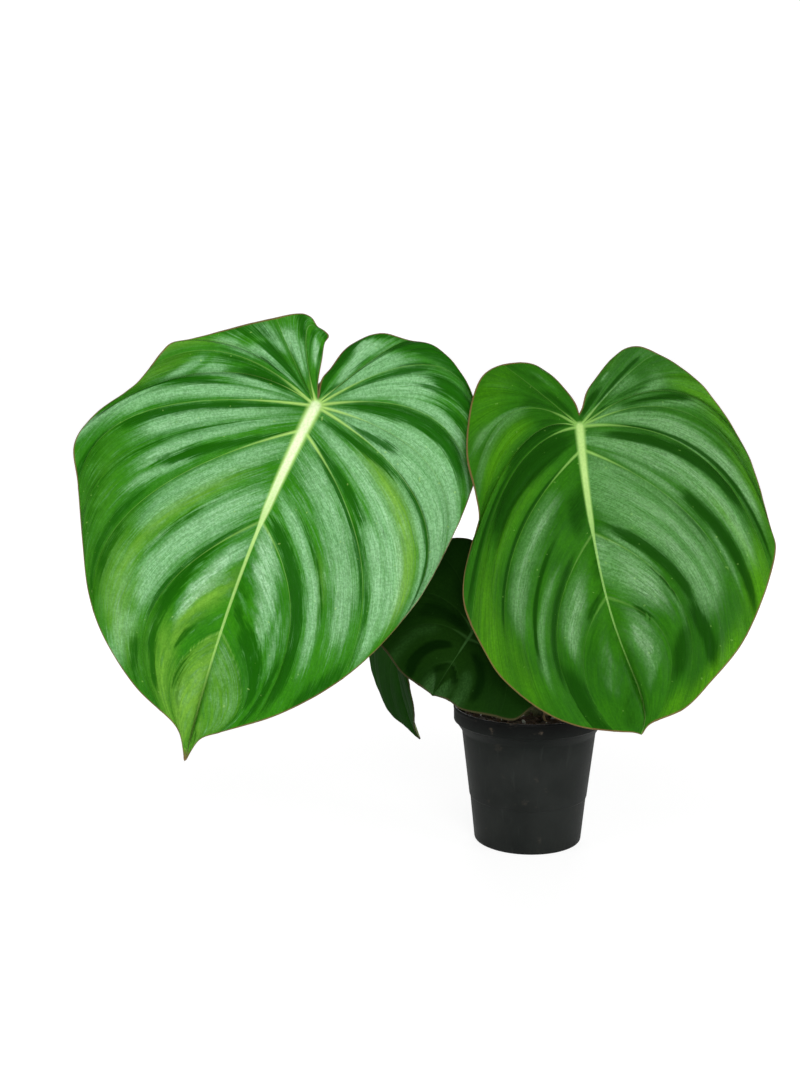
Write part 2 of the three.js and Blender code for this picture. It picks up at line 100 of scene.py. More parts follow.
# Each blade: where its petiole meets it, how it is turned, and its margin on both sides of the
# midrib from the notch to the tip, in its own plane (x to the right, tip along -y). The edge end
# is where the notch's edge ends, as a share of each margin.
# A vein is (start along the midrib, end along the margin, bow towards the lobes, lean of that bow
# towards the margin). The hook is how far the midrib swings out just before the tip.
# The relief is how high a panel swells for its width, the fold how steeply the halves rise from
# the midrib, within the reach, and droop and curl how far the sides and the tip hang.
# Bands follow the veins: (strip, place across it at the band's start and at its end, half width,
# from, to, strength). Shades are painted shade, dark where the face turns away from the light,
# sheens are painted sheen, pale where the face meets the light, and glows are yellowish, partly
# the leaf's own colour and partly painted light shining through it. A crease is (strip, place
# across it at its start and at its end, from, to, depth, width), the last two in millimetres. A
# skew says for each strip which side of its swelling is steep: the one towards the notch above 0,
# the other below it. The sheen base is how much painted sheen the left half, the right half and
# the tip have anyway, and the waves, 1 where they aren't given, are how wavy the face is.
LEAVES = {
    "leaf_1": {
        "at": (-146, -30, 308), "yaw": 10, "pitch": 14, "roll": -22,
        "length": 246, "notch": (0, 5), "midrib_bow": -8, "midrib_hook": 0,
        "edge_end": (0.085, 0.095),
        "left": [(-4, 15), (-7, 31), (-9, 42), (-8, 47), (-12, 49), (-17, 50), (-23, 54), (-29, 54),
                 (-39, 49), (-65, 30), (-90, 12), (-102, 5), (-106, -3), (-114, -29), (-132, -57),
                 (-137, -79), (-126, -102), (-110, -136), (-94, -167), (-77, -188), (-46, -212),
                 (-15, -226), (-9, -231)],
        "right": [(-2, 18), (1, 27), (5, 41), (10, 49), (24, 61), (44, 64), (61, 66), (88, 53),
                  (103, 36), (116, 6), (117, -25), (112, -76), (103, -111), (78, -162), (45, -199),
                  (14, -222), (4, -230)],
        "left_veins": [(0, 0.111, -0.152, 0.71), (0, 0.179, -0.013, -0.06), (0, 0.371, 0.183, 0.14),
                       (0, 0.483, 0.176, -0.09), (0, 0.587, 0.203, 0.32),
                       (0.073, 0.756, 0.186, 0.25), (0.343, 0.92, 0.254, 0.17),
                       (0.655, 0.957, 0.255, 0)],
        "right_veins": [(0, 0.174, 0.038, 0.31), (0, 0.321, 0.271, 0.35), (0, 0.437, 0.258, 0.17),
                        (0, 0.54, 0.255, 0.17), (0, 0.638, 0.253, 0.18),
                        (0.073, 0.758, 0.146, 0.08), (0.343, 0.893, 0.163, -0.03),
                        (0.655, 0.94, 0.219, 0.2)],
        "relief": 0.09, "fold": 0.1, "fold_reach": 30, "droop": 9, "tip_curl": 10,
        "sheen_base": (0.17, 0.27, 0),
        "left_skews": (0, 0, 0.35, 0.35, 0, -0.35, -0.2, 0.2, 0),
        "right_skews": (0.35, 0.2, 0.35, 0.35, -0.2, 0, -0.35, -0.35, 0),
        "left_shades": [(0, 0.25, 0.25, 0.15, 0.15, 0.75, 0.7), (0, 0.78, 0.75, 0.1, 0.3, 0.9, 0.8),
                        (0, 0.5, 0.5, 0.5, 0.82, 1.1, 0.7), (1, 0.1, 0.5, 0.2, 0.45, 1.1, 0.9),
                        (2, 0.3, 0.25, 0.11, 0.15, 0.8, 1), (2, 0.85, 0.5, 0.1, 0.22, 0.55, 0.9),
                        (2, 0.2, 0.35, 0.2, 0.78, 1.1, 0.7), (2, 0.95, 0.9, 0.08, 0.35, 0.7, 0.5),
                        (3, 0.6, 0.6, 0.6, 0.13, 0.4, 1), (3, 0.4, 0.6, 0.5, 0.78, 1.1, 0.2),
                        (3, 0.15, 0.2, 0.15, 0.35, 0.6, 0.6), (4, 0.2, 0, 0.14, 0.08, 0.38, 0.9),
                        (4, 0.55, 0.02, 0.14, 0.3, 0.95, 1), (4, 1.1, 0.75, 0.12, 0.6, 1.1, 0.8),
                        (5, 0.12, 0.04, 0.07, 0.03, 0.6, 0.9), (5, 0.95, 0.68, 0.1, 0.03, 0.42, 1),
                        (5, 0.42, 0.42, 0.04, 0.1, 0.9, 0.6), (5, 0.9, 0.95, 0.08, 0.45, 1, 0.7),
                        (5, 0.5, 0.5, 0.7, 0.66, 1.1, 0.5), (6, 0.5, 0.5, 0.04, 0.08, 0.5, 0.6),
                        (6, 0.9, 0.75, 0.09, 0.7, 0.98, 0.8), (6, 0.97, 0.97, 0.05, 0.03, 0.6, 0.7),
                        (6, 0.05, 0.1, 0.1, 0.55, 0.85, 0.6), (7, 0.02, 0.35, 0.16, 0.15, 0.9, 0.8),
                        (7, 0.72, 0.82, 0.04, 0.05, 0.55, 0.8),
                        (8, 0, 0.2, 0.15, 0.3, 0.75, 0.5), (8, 0.8, 0.75, 0.12, 0.2, 0.8, 0.3)],
        "right_shades": [(0, 0.25, 0.1, 0.25, 0, 0.95, 1), (0, 0.6, 0.9, 0.25, 0.05, 0.2, 0.7),
                         (0, 0.8, 0.85, 0.06, 0.3, 0.6, 0.5), (0, 0.5, 0.5, 0.6, 0.84, 1.1, 0.8),
                         (1, 0.45, 0.45, 0.7, 0.58, 1.1, 1), (1, 0.95, 1, 0.08, 0.35, 0.6, 0.8),
                         (1, 0.2, 0, 0.15, 0.05, 0.2, 0.7), (2, 0.22, 0.1, 0.09, 0.08, 0.5, 0.9),
                         (2, 0.3, 0.5, 0.2, 0.5, 1.1, 1), (2, 0.45, 0.5, 0.08, 0.4, 0.65, 0.9),
                         (2, 0.7, 0.75, 0.1, 0.5, 1.1, 0.7), (3, 0.3, 0.25, 0.24, 0.08, 0.86, 1),
                         (3, 0.45, 0.45, 0.12, 0.05, 0.4, 0.8), (4, 0.85, 0.45, 0.22, 0.1, 0.32, 1),
                         (4, 1, 1, 0.06, 0.25, 0.9, 0.7), (5, 0.28, 0.08, 0.09, 0.02, 0.32, 1),
                         (5, 0.02, 0.03, 0.05, 0.3, 0.95, 0.8), (5, 0.92, 0.85, 0.1, 0.03, 0.38, 1),
                         (5, 0.97, 0.95, 0.05, 0.35, 0.95, 0.6),
                         (5, 0.6, 0.62, 0.03, 0.3, 0.55, 0.6), (6, 0.9, 0.93, 0.1, 0.03, 0.95, 1),
                         (6, 0.02, 0.03, 0.04, 0.05, 0.7, 0.7),
                         (6, 0.57, 0.6, 0.04, 0.15, 0.7, 0.6), (6, 0.3, 0.5, 0.4, 0.9, 1.1, 0.8),
                         (7, 0.8, 0.72, 0.16, 0.12, 0.8, 1), (7, 0.3, 0.4, 0.22, 0.62, 1, 0.9),
                         (7, 0.6, 0.7, 0.2, 0, 0.12, 0.6), (8, 0.75, 0.65, 0.15, 0.1, 1, 0.5)],
        "left_sheens": [(0, 0.5, 0.52, 0.14, 0.38, 0.68, 0.9), (1, 0.42, 0.95, 0.2, 0.22, 0.85, 1),
                        (1, 0.2, 0.35, 0.15, 0.22, 0.5, 0.6), (2, 0.65, 0.42, 0.14, 0.12, 0.7, 1),
                        (2, 0.8, 0.5, 0.12, 0.45, 0.9, 0.7), (2, 0.1, 0.12, 0.06, 0.65, 0.95, 0.9),
                        (3, 0.85, 0.6, 0.35, 0.45, 0.57, 0.9), (3, 0.55, 0.6, 0.4, 0.62, 0.72, 0.9),
                        (4, 0.45, 0.02, 0.12, 0.1, 0.55, 0.9), (4, 0.75, 0.7, 0.17, 0.08, 0.65, 1),
                        (4, 0.68, 0.08, 0.2, 0.55, 1.05, 1), (5, 0.27, 0.2, 0.13, 0.08, 0.48, 1),
                        (5, 0.5, 0.58, 0.11, 0.05, 0.48, 0.9), (5, 0.85, 0.75, 0.07, 0.3, 0.55, 0.7),
                        (6, 0.15, 0.2, 0.15, 0.03, 0.5, 0.8), (6, 0.7, 0.75, 0.2, 0.03, 0.6, 0.9),
                        (6, 0.5, 0.5, 0.3, 0.5, 0.9, 0.4), (6, 0.8, 0.3, 0.15, 0.65, 1.1, 0.7),
                        (7, 0.2, 0.5, 0.14, 0, 0.4, 0.9), (8, 0.4, 0.4, 0.3, 0, 0.7, 0.4)],
        "right_sheens": [(0, 0.8, 0.45, 0.16, 0.22, 0.8, 1), (0, 0.7, 0.6, 0.2, 0.55, 0.78, 0.8),
                         (1, 0.75, 0.4, 0.4, 0.12, 0.48, 1), (2, 0.55, 0.45, 0.3, 0.1, 0.5, 1),
                         (2, 0.85, 0.92, 0.1, 0.3, 0.75, 0.9), (3, 0.85, 0.7, 0.24, 0.08, 1.1, 1),
                         (3, 0.05, 0.1, 0.06, 0.7, 1, 0.6), (4, 0.5, 0.5, 0.8, 0.1, 1.1, 1),
                         (5, 0.5, 0.6, 0.15, 0.05, 0.9, 0.9), (5, 0.8, 0.8, 0.12, 0.4, 0.98, 0.8),
                         (5, 0.12, 0.1, 0.07, 0.35, 1, 0.7), (6, 0.2, 0.3, 0.18, 0.05, 0.8, 0.65),
                         (6, 0.68, 0.72, 0.08, 0.03, 0.8, 0.8),
                         (7, 0.12, 0.5, 0.2, 0.03, 0.38, 0.9), (7, 0.35, 0.4, 0.2, 0.35, 0.62, 0.5),
                         (7, 0.9, 0.9, 0.15, 0.85, 1.1, 0.4), (8, 0.2, 0.25, 0.35, 0, 0.95, 0.4)],
        "left_glows": [(1, 0.5, 0.5, 0.5, 0.02, 0.15, 0.5), (2, 0.7, 0.8, 0.15, 0.7, 1.1, 0.6),
                       (3, 0.3, 0.3, 0.4, 0.75, 1.1, 0.4), (5, 0.5, 0.5, 0.6, 0.6, 1.1, 0.15),
                       (6, 0.33, 0.4, 0.1, 0.15, 0.75, 0.7), (6, 0.4, 0.5, 0.4, 0.55, 0.9, 0.5),
                       (7, 0.55, 0.65, 0.12, 0, 0.5, 1), (7, 0.65, 0.55, 0.4, 0.45, 1.1, 0.8),
                       (8, 0.4, 0.3, 0.5, -0.1, 1.1, 1)],
        "right_glows": [(5, 0.25, 0.4, 0.13, 0.22, 0.9, 1), (6, 0.55, 0.57, 0.05, 0.35, 0.55, 0.4),
                        (8, 0.7, 0.6, 0.2, 0.2, 1.1, 0.7), (8, 0.3, 0.3, 0.4, 0, 1.1, 0.4)],
        "left_creases": [(2, 0.5, 0.55, 0.3, 0.9, 1, 1.6), (4, 0.3, 0.45, 0.1, 0.5, 1, 1.6),
                         (5, 0.44, 0.44, 0.1, 0.85, 1.3, 2), (6, 0.5, 0.52, 0.05, 0.55, 1.2, 1.8),
                         (6, 0.85, 0.8, 0.05, 0.5, 1, 1.6), (7, 0.72, 0.82, 0.1, 0.6, 1.2, 1.6)],
        "right_creases": [(2, 0.35, 0.4, 0.2, 0.8, 1, 1.6), (4, 0.7, 0.5, 0.12, 0.4, 1, 1.6),
                          (5, 0.6, 0.62, 0.05, 0.55, 1, 1.6), (6, 0.57, 0.6, 0.1, 0.7, 1.2, 1.8),
                          (7, 0.5, 0.6, 0.1, 0.8, 1.4, 2)],
        "petiole_radius": 3,
        "petiole": [(4, 13, 94), (-10, 26, 132), (-38, 38, 174), (-72, 42, 216), (-106, 34, 264),
                    (-132, 16, 300), (-141, 0, 316), (-142, -12, 320), (-144, -21, 314),
                    (-146, -29, 304)],
    },
    "leaf_2": {
        "at": (29, -28, 294), "yaw": -6, "pitch": 18, "roll": 12,
        "length": 205, "notch": (1, 8), "midrib_bow": -6, "midrib_hook": 7,
        "edge_end": (0.1, 0.11),
        "left": [(0, 16), (-5, 27), (-12, 38), (-22, 47), (-34, 51), (-46, 51), (-57, 46),
                 (-67, 30), (-77, -5), (-76, -31), (-77, -49), (-85, -64), (-94, -85), (-97, -104),
                 (-89, -136), (-82, -153), (-59, -180), (-39, -193), (-14, -201), (-5, -203)],
        "right": [(4, 12), (9, 22), (18, 31), (30, 41), (42, 46), (53, 43), (76, 22), (90, -1),
                  (103, -37), (108, -90), (108, -104), (91, -137), (73, -161), (50, -180),
                  (30, -194), (6, -200)],
        "left_veins": [(0, 0.171, 0.012, 0.16), (0, 0.4, 0.372, -0.13), (0, 0.525, 0.188, -0.36),
                       (0, 0.645, 0.16, -0.26), (0.075, 0.787, 0.161, 0.02),
                       (0.35, 0.92, 0.183, 0.06), (0.56, 0.955, 0.2, 0)],
        "right_veins": [(0, 0.199, 0.048, 0.3), (0, 0.403, 0.272, 0.08), (0, 0.551, 0.293, -0.08),
                        (0, 0.642, 0.21, -0.06), (0.075, 0.755, 0.148, 0.07),
                        (0.35, 0.922, 0.237, 0.04), (0.56, 0.965, 0.297, -0.05)],
        "relief": 0.085, "fold": 0.1, "fold_reach": 30, "droop": 8, "tip_curl": 12,
        "sheen_base": (-0.05, 0.33, 0),
        "left_skews": (0.35, 0, 0, 0, 0, -0.2, 0, 0),
        "right_skews": (-0.3, 0, 0.2, 0, 0.35, -0.2, 0, 0.3),
        "left_shades": [(0, 0.7, 0.85, 0.3, 0.05, 0.5, 0.7), (0, 0.6, 1, 0.3, 0.5, 1.1, 0.5),
                        (1, 0.6, 0.5, 0.5, 0.15, 0.55, 0.6), (2, 0.6, 0.8, 0.5, 0.13, 0.35, 0.6),
                        (2, 0.8, 0.5, 0.3, 0.85, 1.1, 0.5), (3, 0.3, 0.6, 0.5, 0.08, 0.55, 0.9),
                        (3, 0.85, 0.85, 0.12, 0.1, 1, 0.8), (4, 0.4, 0.25, 0.4, 0.03, 0.65, 0.95),
                        (4, 0.95, 0.95, 0.06, 0.08, 0.8, 0.8), (5, 0.55, 0.64, 0.05, 0.2, 0.75, 1),
                        (5, 0.93, 0.95, 0.08, 0.1, 0.8, 0.8), (5, 0.6, 0.6, 0.4, 0, 0.12, 0.7),
                        (6, 0.5, 0.5, 0.8, 0.6, 1.1, 0.8), (6, 0.9, 0.9, 0.15, 0, 0.25, 0.7),
                        (6, 0.5, 0.5, 0.6, -0.2, 0.06, 0.7), (7, 0.7, 0.6, 0.25, 0, 1, 0.5)],
        "right_shades": [(0, 0.35, 0.5, 0.35, 0, 0.35, 0.9), (0, 0.88, 0.85, 0.08, 0.15, 0.8, 1),
                         (1, 0.45, 0.5, 0.25, 0.1, 0.2, 0.7), (1, 0.5, 0.6, 0.12, 0.2, 0.5, 0.6),
                         (2, 0.55, 0.15, 0.2, 0.18, 0.62, 0.8), (2, 0.8, 0.5, 0.2, 0.6, 1, 0.5),
                         (3, 0.97, 0.85, 0.06, 0.1, 1, 0.9), (3, 0.6, 0.2, 0.1, 0.3, 0.6, 0.3),
                         (4, 0.28, 0.05, 0.13, 0.06, 0.75, 1), (4, 0.8, 0.65, 0.13, 0.4, 1, 1),
                         (5, 0.85, 0.8, 0.1, 0.06, 0.6, 1), (5, 0.9, 0.55, 0.12, 0.55, 0.95, 1),
                         (5, 0.02, 0.05, 0.05, 0.3, 0.6, 0.5), (5, 0.6, 0.5, 0.3, 0.82, 0.95, 0.5),
                         (6, 0.03, 0, 0.05, 0.25, 0.55, 0.9), (6, 0.5, 0.6, 0.6, 0.55, 0.85, 0.8),
                         (6, 0.98, 0.98, 0.06, 0.15, 0.35, 0.9), (7, 0.75, 0.7, 0.12, 0, 0.7, 0.7)],
        "left_sheens": [(0, 0.35, 0.6, 0.15, 0.4, 0.8, 0.4), (1, 0.95, 0.8, 0.12, 0.35, 0.95, 0.7),
                        (1, 0.2, 0.3, 0.2, 0.6, 1, 0.3), (2, 0.05, 0.15, 0.2, 0.35, 1, 0.7),
                        (5, 0.22, 0.28, 0.22, 0.15, 0.7, 0.9), (5, 0.78, 0.68, 0.08, 0.25, 0.85, 0.7),
                        (6, 0.35, 0.55, 0.42, 0.12, 0.52, 0.9), (7, 0.25, 0.35, 0.12, 0.15, 0.6, 0.5)],
        "right_sheens": [(0, 0.97, 1, 0.05, 0.1, 0.5, 0.5), (0, 0.45, 0.4, 0.06, 0.43, 0.55, 0.6),
                         (1, 0.15, 0.15, 0.15, 0.3, 0.5, 0.5), (1, 0.9, 0.4, 0.15, 0.35, 0.65, 0.5),
                         (2, 0.6, 0.6, 0.4, 0.08, 0.18, 0.5), (2, 1, 0, 0.15, 0.25, 0.75, 0.4),
                         (3, 0.3, 0.75, 0.3, -0.1, 0.5, 0.8), (3, 0.75, 0.7, 0.12, 0.45, 0.85, 0.9),
                         (4, 0.58, 0.35, 0.16, -0.1, 0.85, 1), (4, 0.8, 0.9, 0.08, 0.08, 0.4, 0.5),
                         (4, 0.92, 0.9, 0.05, 0.6, 0.85, 0.5), (5, 0.35, 0.42, 0.32, -0.1, 0.72, 1),
                         (5, 0.93, 0.97, 0.04, 0.03, 0.3, 0.6), (6, 0.35, 0.35, 0.45, -0.1, 0.35, 0.9),
                         (6, 0.15, 0.1, 0.1, 0.25, 0.6, 0.4), (7, 0.15, 0.3, 0.2, 0.1, 0.6, 0.6)],
        "left_glows": [(1, 0.4, 0.4, 0.4, 0.7, 1, 0.3), (2, 0.5, 0.45, 0.3, 0.4, 0.9, 0.7),
                       (3, 0.3, 0.1, 0.3, 0.45, 0.85, 0.3), (4, 0.75, 0.5, 0.15, 0.2, 1.1, 0.4),
                       (4, 0.5, 0.5, 0.5, 0.74, 1.1, 0.7), (5, 0.2, 0.2, 0.3, 0.75, 1, 0.4)],
        "right_glows": [(0, 0.3, 0.2, 0.2, 0.6, 1, 0.3), (1, 0.75, 0.6, 0.3, 0.65, 1.1, 0.8),
                        (2, 0.3, 0.5, 0.4, 0.65, 1, 0.6), (3, 0.2, 0.4, 0.4, 0.68, 1, 0.6),
                        (4, 0.5, 0.4, 0.08, 0.55, 0.9, 0.6), (4, 0.4, 0.4, 0.5, 0.85, 1.1, 0.8),
                        (5, 0.5, 0.5, 0.6, 0.92, 1.1, 0.8), (6, 0.4, 0.4, 0.6, 0.9, 1.1, 0.6)],
        "left_creases": [(1, 0.5, 0.5, 0.3, 0.9, 0.8, 2), (4, 0.5, 0.55, 0.15, 0.8, 0.9, 1.6),
                         (5, 0.55, 0.64, 0.2, 0.8, 1.6, 2)],
        "right_creases": [(2, 0.3, 0.4, 0.25, 0.8, 0.9, 1.6), (4, 0.5, 0.55, 0.2, 0.75, 0.8, 1.5),
                          (5, 0.08, 0.2, 0.15, 0.8, 1.5, 2), (6, 0.5, 0.55, 0.1, 0.65, 0.8, 1.4),
                          (7, 0.06, 0.2, 0.08, 0.5, 1.2, 1.6)],
        "petiole_radius": 3,
        "petiole": [(16, 11, 95), (22, 17, 140), (28, 20, 200), (32, 14, 252), (32, 0, 282),
                    (31, -14, 292), (29, -28, 293)],
    },
    "leaf_3": {
        "at": (-41, -27, 155), "yaw": -10, "pitch": 33, "roll": -28,
        "length": 51, "notch": (0, 4), "midrib_bow": 0, "midrib_hook": 0,
        "edge_end": (0.12, 0.12),
        "left": [(-4, 14), (-10, 30), (-20, 46), (-34, 56), (-47, 53), (-59, 41), (-68, 22),
                 (-71, 0), (-66, -21), (-57, -36), (-43, -42), (-26, -49), (-15, -50)],
        "right": [(3, 14), (9, 30), (18, 46), (30, 56), (44, 57), (57, 48), (66, 30), (68, 10),
                  (66, -12), (61, -27), (56, -38), (43, -43), (22, -50), (12, -49)],
        "left_veins": [(0, 0.197, 0.022, 0.07), (0, 0.411, 0.115, 0.1), (0, 0.62, 0.2, 0),
                       (0.12, 0.8, 0.25, 0), (0.5, 0.95, 0.2, 0)],
        "right_veins": [(0, 0.22, 0.004, -0.05), (0, 0.45, 0.107, 0.01), (0, 0.62, 0.2, 0),
                        (0.12, 0.8, 0.25, 0), (0.5, 0.95, 0.2, 0)],
        "relief": 0.08, "fold": 0.1, "fold_reach": 25, "droop": 8, "tip_curl": 3,
        "left_skews": (0.2,) * 6, "right_skews": (0.2,) * 6,
        "left_shades": [(3, 0.5, 0.5, 0.5, 0, 0.6, 0.7), (4, 0.45, 0.75, 0.16, 0.1, 1, 1),
                        (5, 0.2, 0.2, 0.3, 0, 0.5, 0.6)],
        "right_shades": [(3, 0.5, 0.5, 0.4, 0, 0.6, 0.5), (4, 0.35, 0.6, 0.16, 0.1, 0.9, 0.8),
                         (5, 0.1, 0.1, 0.2, 0, 0.6, 0.6)],
        "left_sheens": [(4, 0.1, 0.3, 0.2, 0.3, 1.1, 0.6), (5, 0.6, 0.6, 0.5, 0.35, 1.1, 0.9)],
        "right_sheens": [(4, 0.8, 0.9, 0.2, 0.3, 1.1, 0.7), (5, 0.6, 0.6, 0.5, 0.3, 1.1, 0.9)],
        "petiole_radius": 2.5,
        "petiole": [(-8, 14, 95), (-12, 14, 116), (-22, 6, 136), (-34, -10, 151), (-41, -27, 155)],
    },
    "leaf_4": {
        "at": (-103, 66, 154), "yaw": -72, "pitch": -8, "roll": 17,
        "length": 101, "notch": (0, 3), "midrib_bow": 2, "midrib_hook": 0,
        "edge_end": (0.11, 0.11),
        "left": [(-3, 10), (-10, 20), (-22, 27), (-36, 24), (-48, 10), (-54, -10), (-52, -32),
                 (-54, -49), (-32, -79), (-9, -92)],
        "right": [(3, 10), (10, 20), (21, 26), (34, 22), (45, 9), (50, -10), (49, -32), (40, -52),
                  (36, -78), (10, -92)],
        "left_veins": [(0, 0.19, 0.03, 0), (0, 0.46, 0.2, 0), (0.08, 0.7, 0.2, 0),
                       (0.35, 0.9, 0.2, 0)],
        "right_veins": [(0, 0.2, 0.02, 0), (0, 0.46, 0.18, 0), (0.08, 0.69, 0.17, 0),
                        (0.35, 0.9, 0.17, 0)],
        "relief": 0.03, "fold": 0.24, "fold_reach": 60, "droop": 4, "tip_curl": 4,
        "waves": 0.3, "sheen_base": (-0.2, -0.2, -0.2),
        "left_skews": (0.2,) * 5, "right_skews": (0.2,) * 5,
        "petiole_radius": 2.2,
        "petiole": [(-17, 16, 95), (-28, 38, 122), (-52, 60, 146), (-84, 70, 159), (-103, 66, 154)],
    },
}
# The blades' mesh: rows crowd towards the midrib, columns towards the veins. The flow layer, which
# streaks follow, has one unit to 100 mm, and its strips lie apart so that no two are alike.
BLADE = {
    "thickness": 0.9, "row": 4.23, "fewest_rows": 14, "row_crowding": 1.2, "column": 1.7,
    "fewest_columns": 6, "column_crowding": 0.55, "rim_steps": 4, "flow_unit": 100,
    "flow_apart": 190,
}
# Marks on every vertex of a blade, which its materials read
BLADE_LAYERS = ("from_vein", "from_midrib", "from_edge", "along", "down", "across", "shade",
                "sheen", "glow")
# Relief of the blades, in millimetres. A panel rises over a distance from the midrib and is calmer
# at the margin. Its folds are (height, count, turns of the phase, slant), and the waves (height,
# size), calm near veins and midrib. Groove and trough are (depth, width), the trough's width as a
# share of the blade's length. Ribs are (height, width), a pair being that at the start and the end.
RELIEF = {
    "rise": 36, "margin_calm": 0.45, "folds": ((0.16, 3, 1, 2.2), (0.08, 5, 2, -1.6)),
    "fold_phase": {"left": 1.3, "right": 0.2}, "fold_phase_step": 3.1,
    "waves": ((0.5, 15), (0.22, 6)), "vein_calm": 4, "midrib_calm": 8,
    "vein_groove": (0.45, 1.3), "midrib_trough": (0.7, 0.02),
    "midrib_rib": ((2.4, 0.6), (2.6, 1)), "vein_rib": ((1.1, 0.22), 1.2), "curl_from": 0.55,
}
# Fades of the painted bands and of the creases at their ends, and of the painted sheen base across
# the midrib and along the blade
BAND_FADE = {"most": 0.12, "share": 0.35}
CREASE_FADE = {"in": (-0.1, 0.15), "out": (-0.2, 0.1)}
SHEEN_BASE_FADE = {"across": (-9, 9), "down": (0.2, 0.95)}
# This brings share ** 8 * (1 - share) to 1 at its highest, so that the hook is as wide as it says.
HOOK_SCALE = 23.1
# The margin's direction is measured over this share of it, to both sides.
MARGIN_STEP = 0.004


# Curves and shares

def smooth_curve(points):
    """A centripetal curve through the points, as a table of (share of its length, point)."""
    points = [Vector(p) for p in points]
    ends = [2 * points[0] - points[1], *points, 2 * points[-1] - points[-2]]
    path = []
    for p0, p1, p2, p3 in zip(ends, ends[1:], ends[2:], ends[3:]):
        a, b, c = (max(1e-6, sqrt((q - p).length)) for p, q in ((p0, p1), (p1, p2), (p2, p3)))
        out = ((p1 - p0) / a - (p2 - p0) / (a + b) + (p2 - p1) / b) * b
        into = ((p2 - p1) / b - (p3 - p1) / (b + c) + (p3 - p2) / c) * b
        for step in range(CURVE_STEPS):
            t = step / CURVE_STEPS
            path.append((2 * t ** 3 - 3 * t ** 2 + 1) * p1 + (t ** 3 - 2 * t ** 2 + t) * out
                        + (3 * t ** 2 - 2 * t ** 3) * p2 + (t ** 3 - t ** 2) * into)
    path.append(points[-1])
    lengths = [0]
    for p, q in zip(path, path[1:]):
        lengths.append(lengths[-1] + (q - p).length)
    return [(length / lengths[-1], p) for length, p in zip(lengths, path)]


def curve_at(table, share):
    share = min(max(share, 0), 1)
    after = min(bisect_right(table, share, key=lambda spot: spot[0]), len(table) - 1)
    (low, p), (high, q) = table[after - 1], table[after]
    return p.lerp(q, (share - low) / (high - low))


def curve_length(table):
    return sum((q - p).length for (_, p), (_, q) in zip(table, table[1:]))


def between(first, last, share):
    return first + (last - first) * share


def smoothstep(low, high, value):
    t = min(max((value - low) / (high - low), 0), 1)
    return t * t * (3 - 2 * t)


def plateau(value, start, end, fade_in, fade_out):
    """0, softly up to 1 around the start, and softly down to 0 around the end."""
    rising = smoothstep(start + fade_in[0], start + fade_in[1], value)
    return rising * (1 - smoothstep(end + fade_out[0], end + fade_out[1], value))


def ridge(distance, width):
    """1 on a line and softly down to nothing on both sides of it."""
    return exp(-(distance / width) ** 2)


# Meshes, built in millimetres

def grid_patch(bm, steps, other_steps, place, turned_over=False):
    """A grid whose vertex at shares (a, b) of its two directions goes where place says."""
    made = bmesh.ops.create_grid(bm, x_segments=steps, y_segments=other_steps, size=0.5)["verts"]
    shares = {}
    for vertex in made:
        a = round((vertex.co.x + 0.5) * steps) / steps
        b = round((vertex.co.y + 0.5) * other_steps) / other_steps
        shares[vertex] = (a, b)
    faces = {face for vertex in made for face in vertex.link_faces}
    for vertex, (a, b) in shares.items():
        place(vertex, a, b)
    if turned_over:
        bmesh.ops.reverse_faces(bm, faces=list(faces))
    return faces, shares


def finish_mesh(bm, name, materials, smooth=True):
    """Turns the millimetres into metres and makes a piece of the mesh."""
    bm.transform(Matrix.Scale(MM, 4))
    mesh = bpy.data.meshes.new(name)
    bm.to_mesh(mesh)
    bm.free()
    for material in materials:
        mesh.materials.append(material)
    mesh.polygons.foreach_set("use_smooth", [smooth] * len(mesh.polygons))
    piece = bpy.data.objects.new(name, mesh)
    bpy.context.scene.collection.objects.link(piece)
    return piece


def swept_tube(bm, points, radius_at, sides, steps):
    """A closed tube along a smooth curve; radius_at gives its radius at a share and an angle."""
    table = smooth_curve(points)
    centres = [curve_at(table, i / steps) for i in range(steps + 1)]
    tangents = [(centres[min(i + 1, steps)] - centres[max(i - 1, 0)]).normalized()
                for i in range(steps + 1)]
    side = tangents[0].orthogonal().normalized()
    frames = []
    for tangent in tangents:
        side = (side - tangent * side.dot(tangent)).normalized()
        frames.append((side, tangent.cross(side)))

    def place(vertex, around, along):
        ring = round(along * steps)
        angle = 2 * pi * (around % 1)
        across, up = frames[ring]
        radius = radius_at(along, angle)
        vertex.co = centres[ring] + radius * (cos(angle) * across + sin(angle) * up)

    faces, shares = grid_patch(bm, sides, steps, place)
    rings = [[v for v, (_, along) in shares.items() if along == end] for end in (0, 1)]
    flow = bm.loops.layers.uv.verify()
    length = curve_length(table)
    for face in faces:
        for loop in face.loops:
            around, along = shares[loop.vert]
            loop[flow].uv = (around, along * length)
    bmesh.ops.remove_doubles(bm, verts=list(shares), dist=FINE_WELD)
    for ring in rings:
        alive = [vertex for vertex in ring if vertex.is_valid]
        edges = {edge for vertex in alive for edge in vertex.link_edges if edge.is_boundary}
        bmesh.ops.holes_fill(bm, edges=list(edges), sides=0)


# Leaf blades

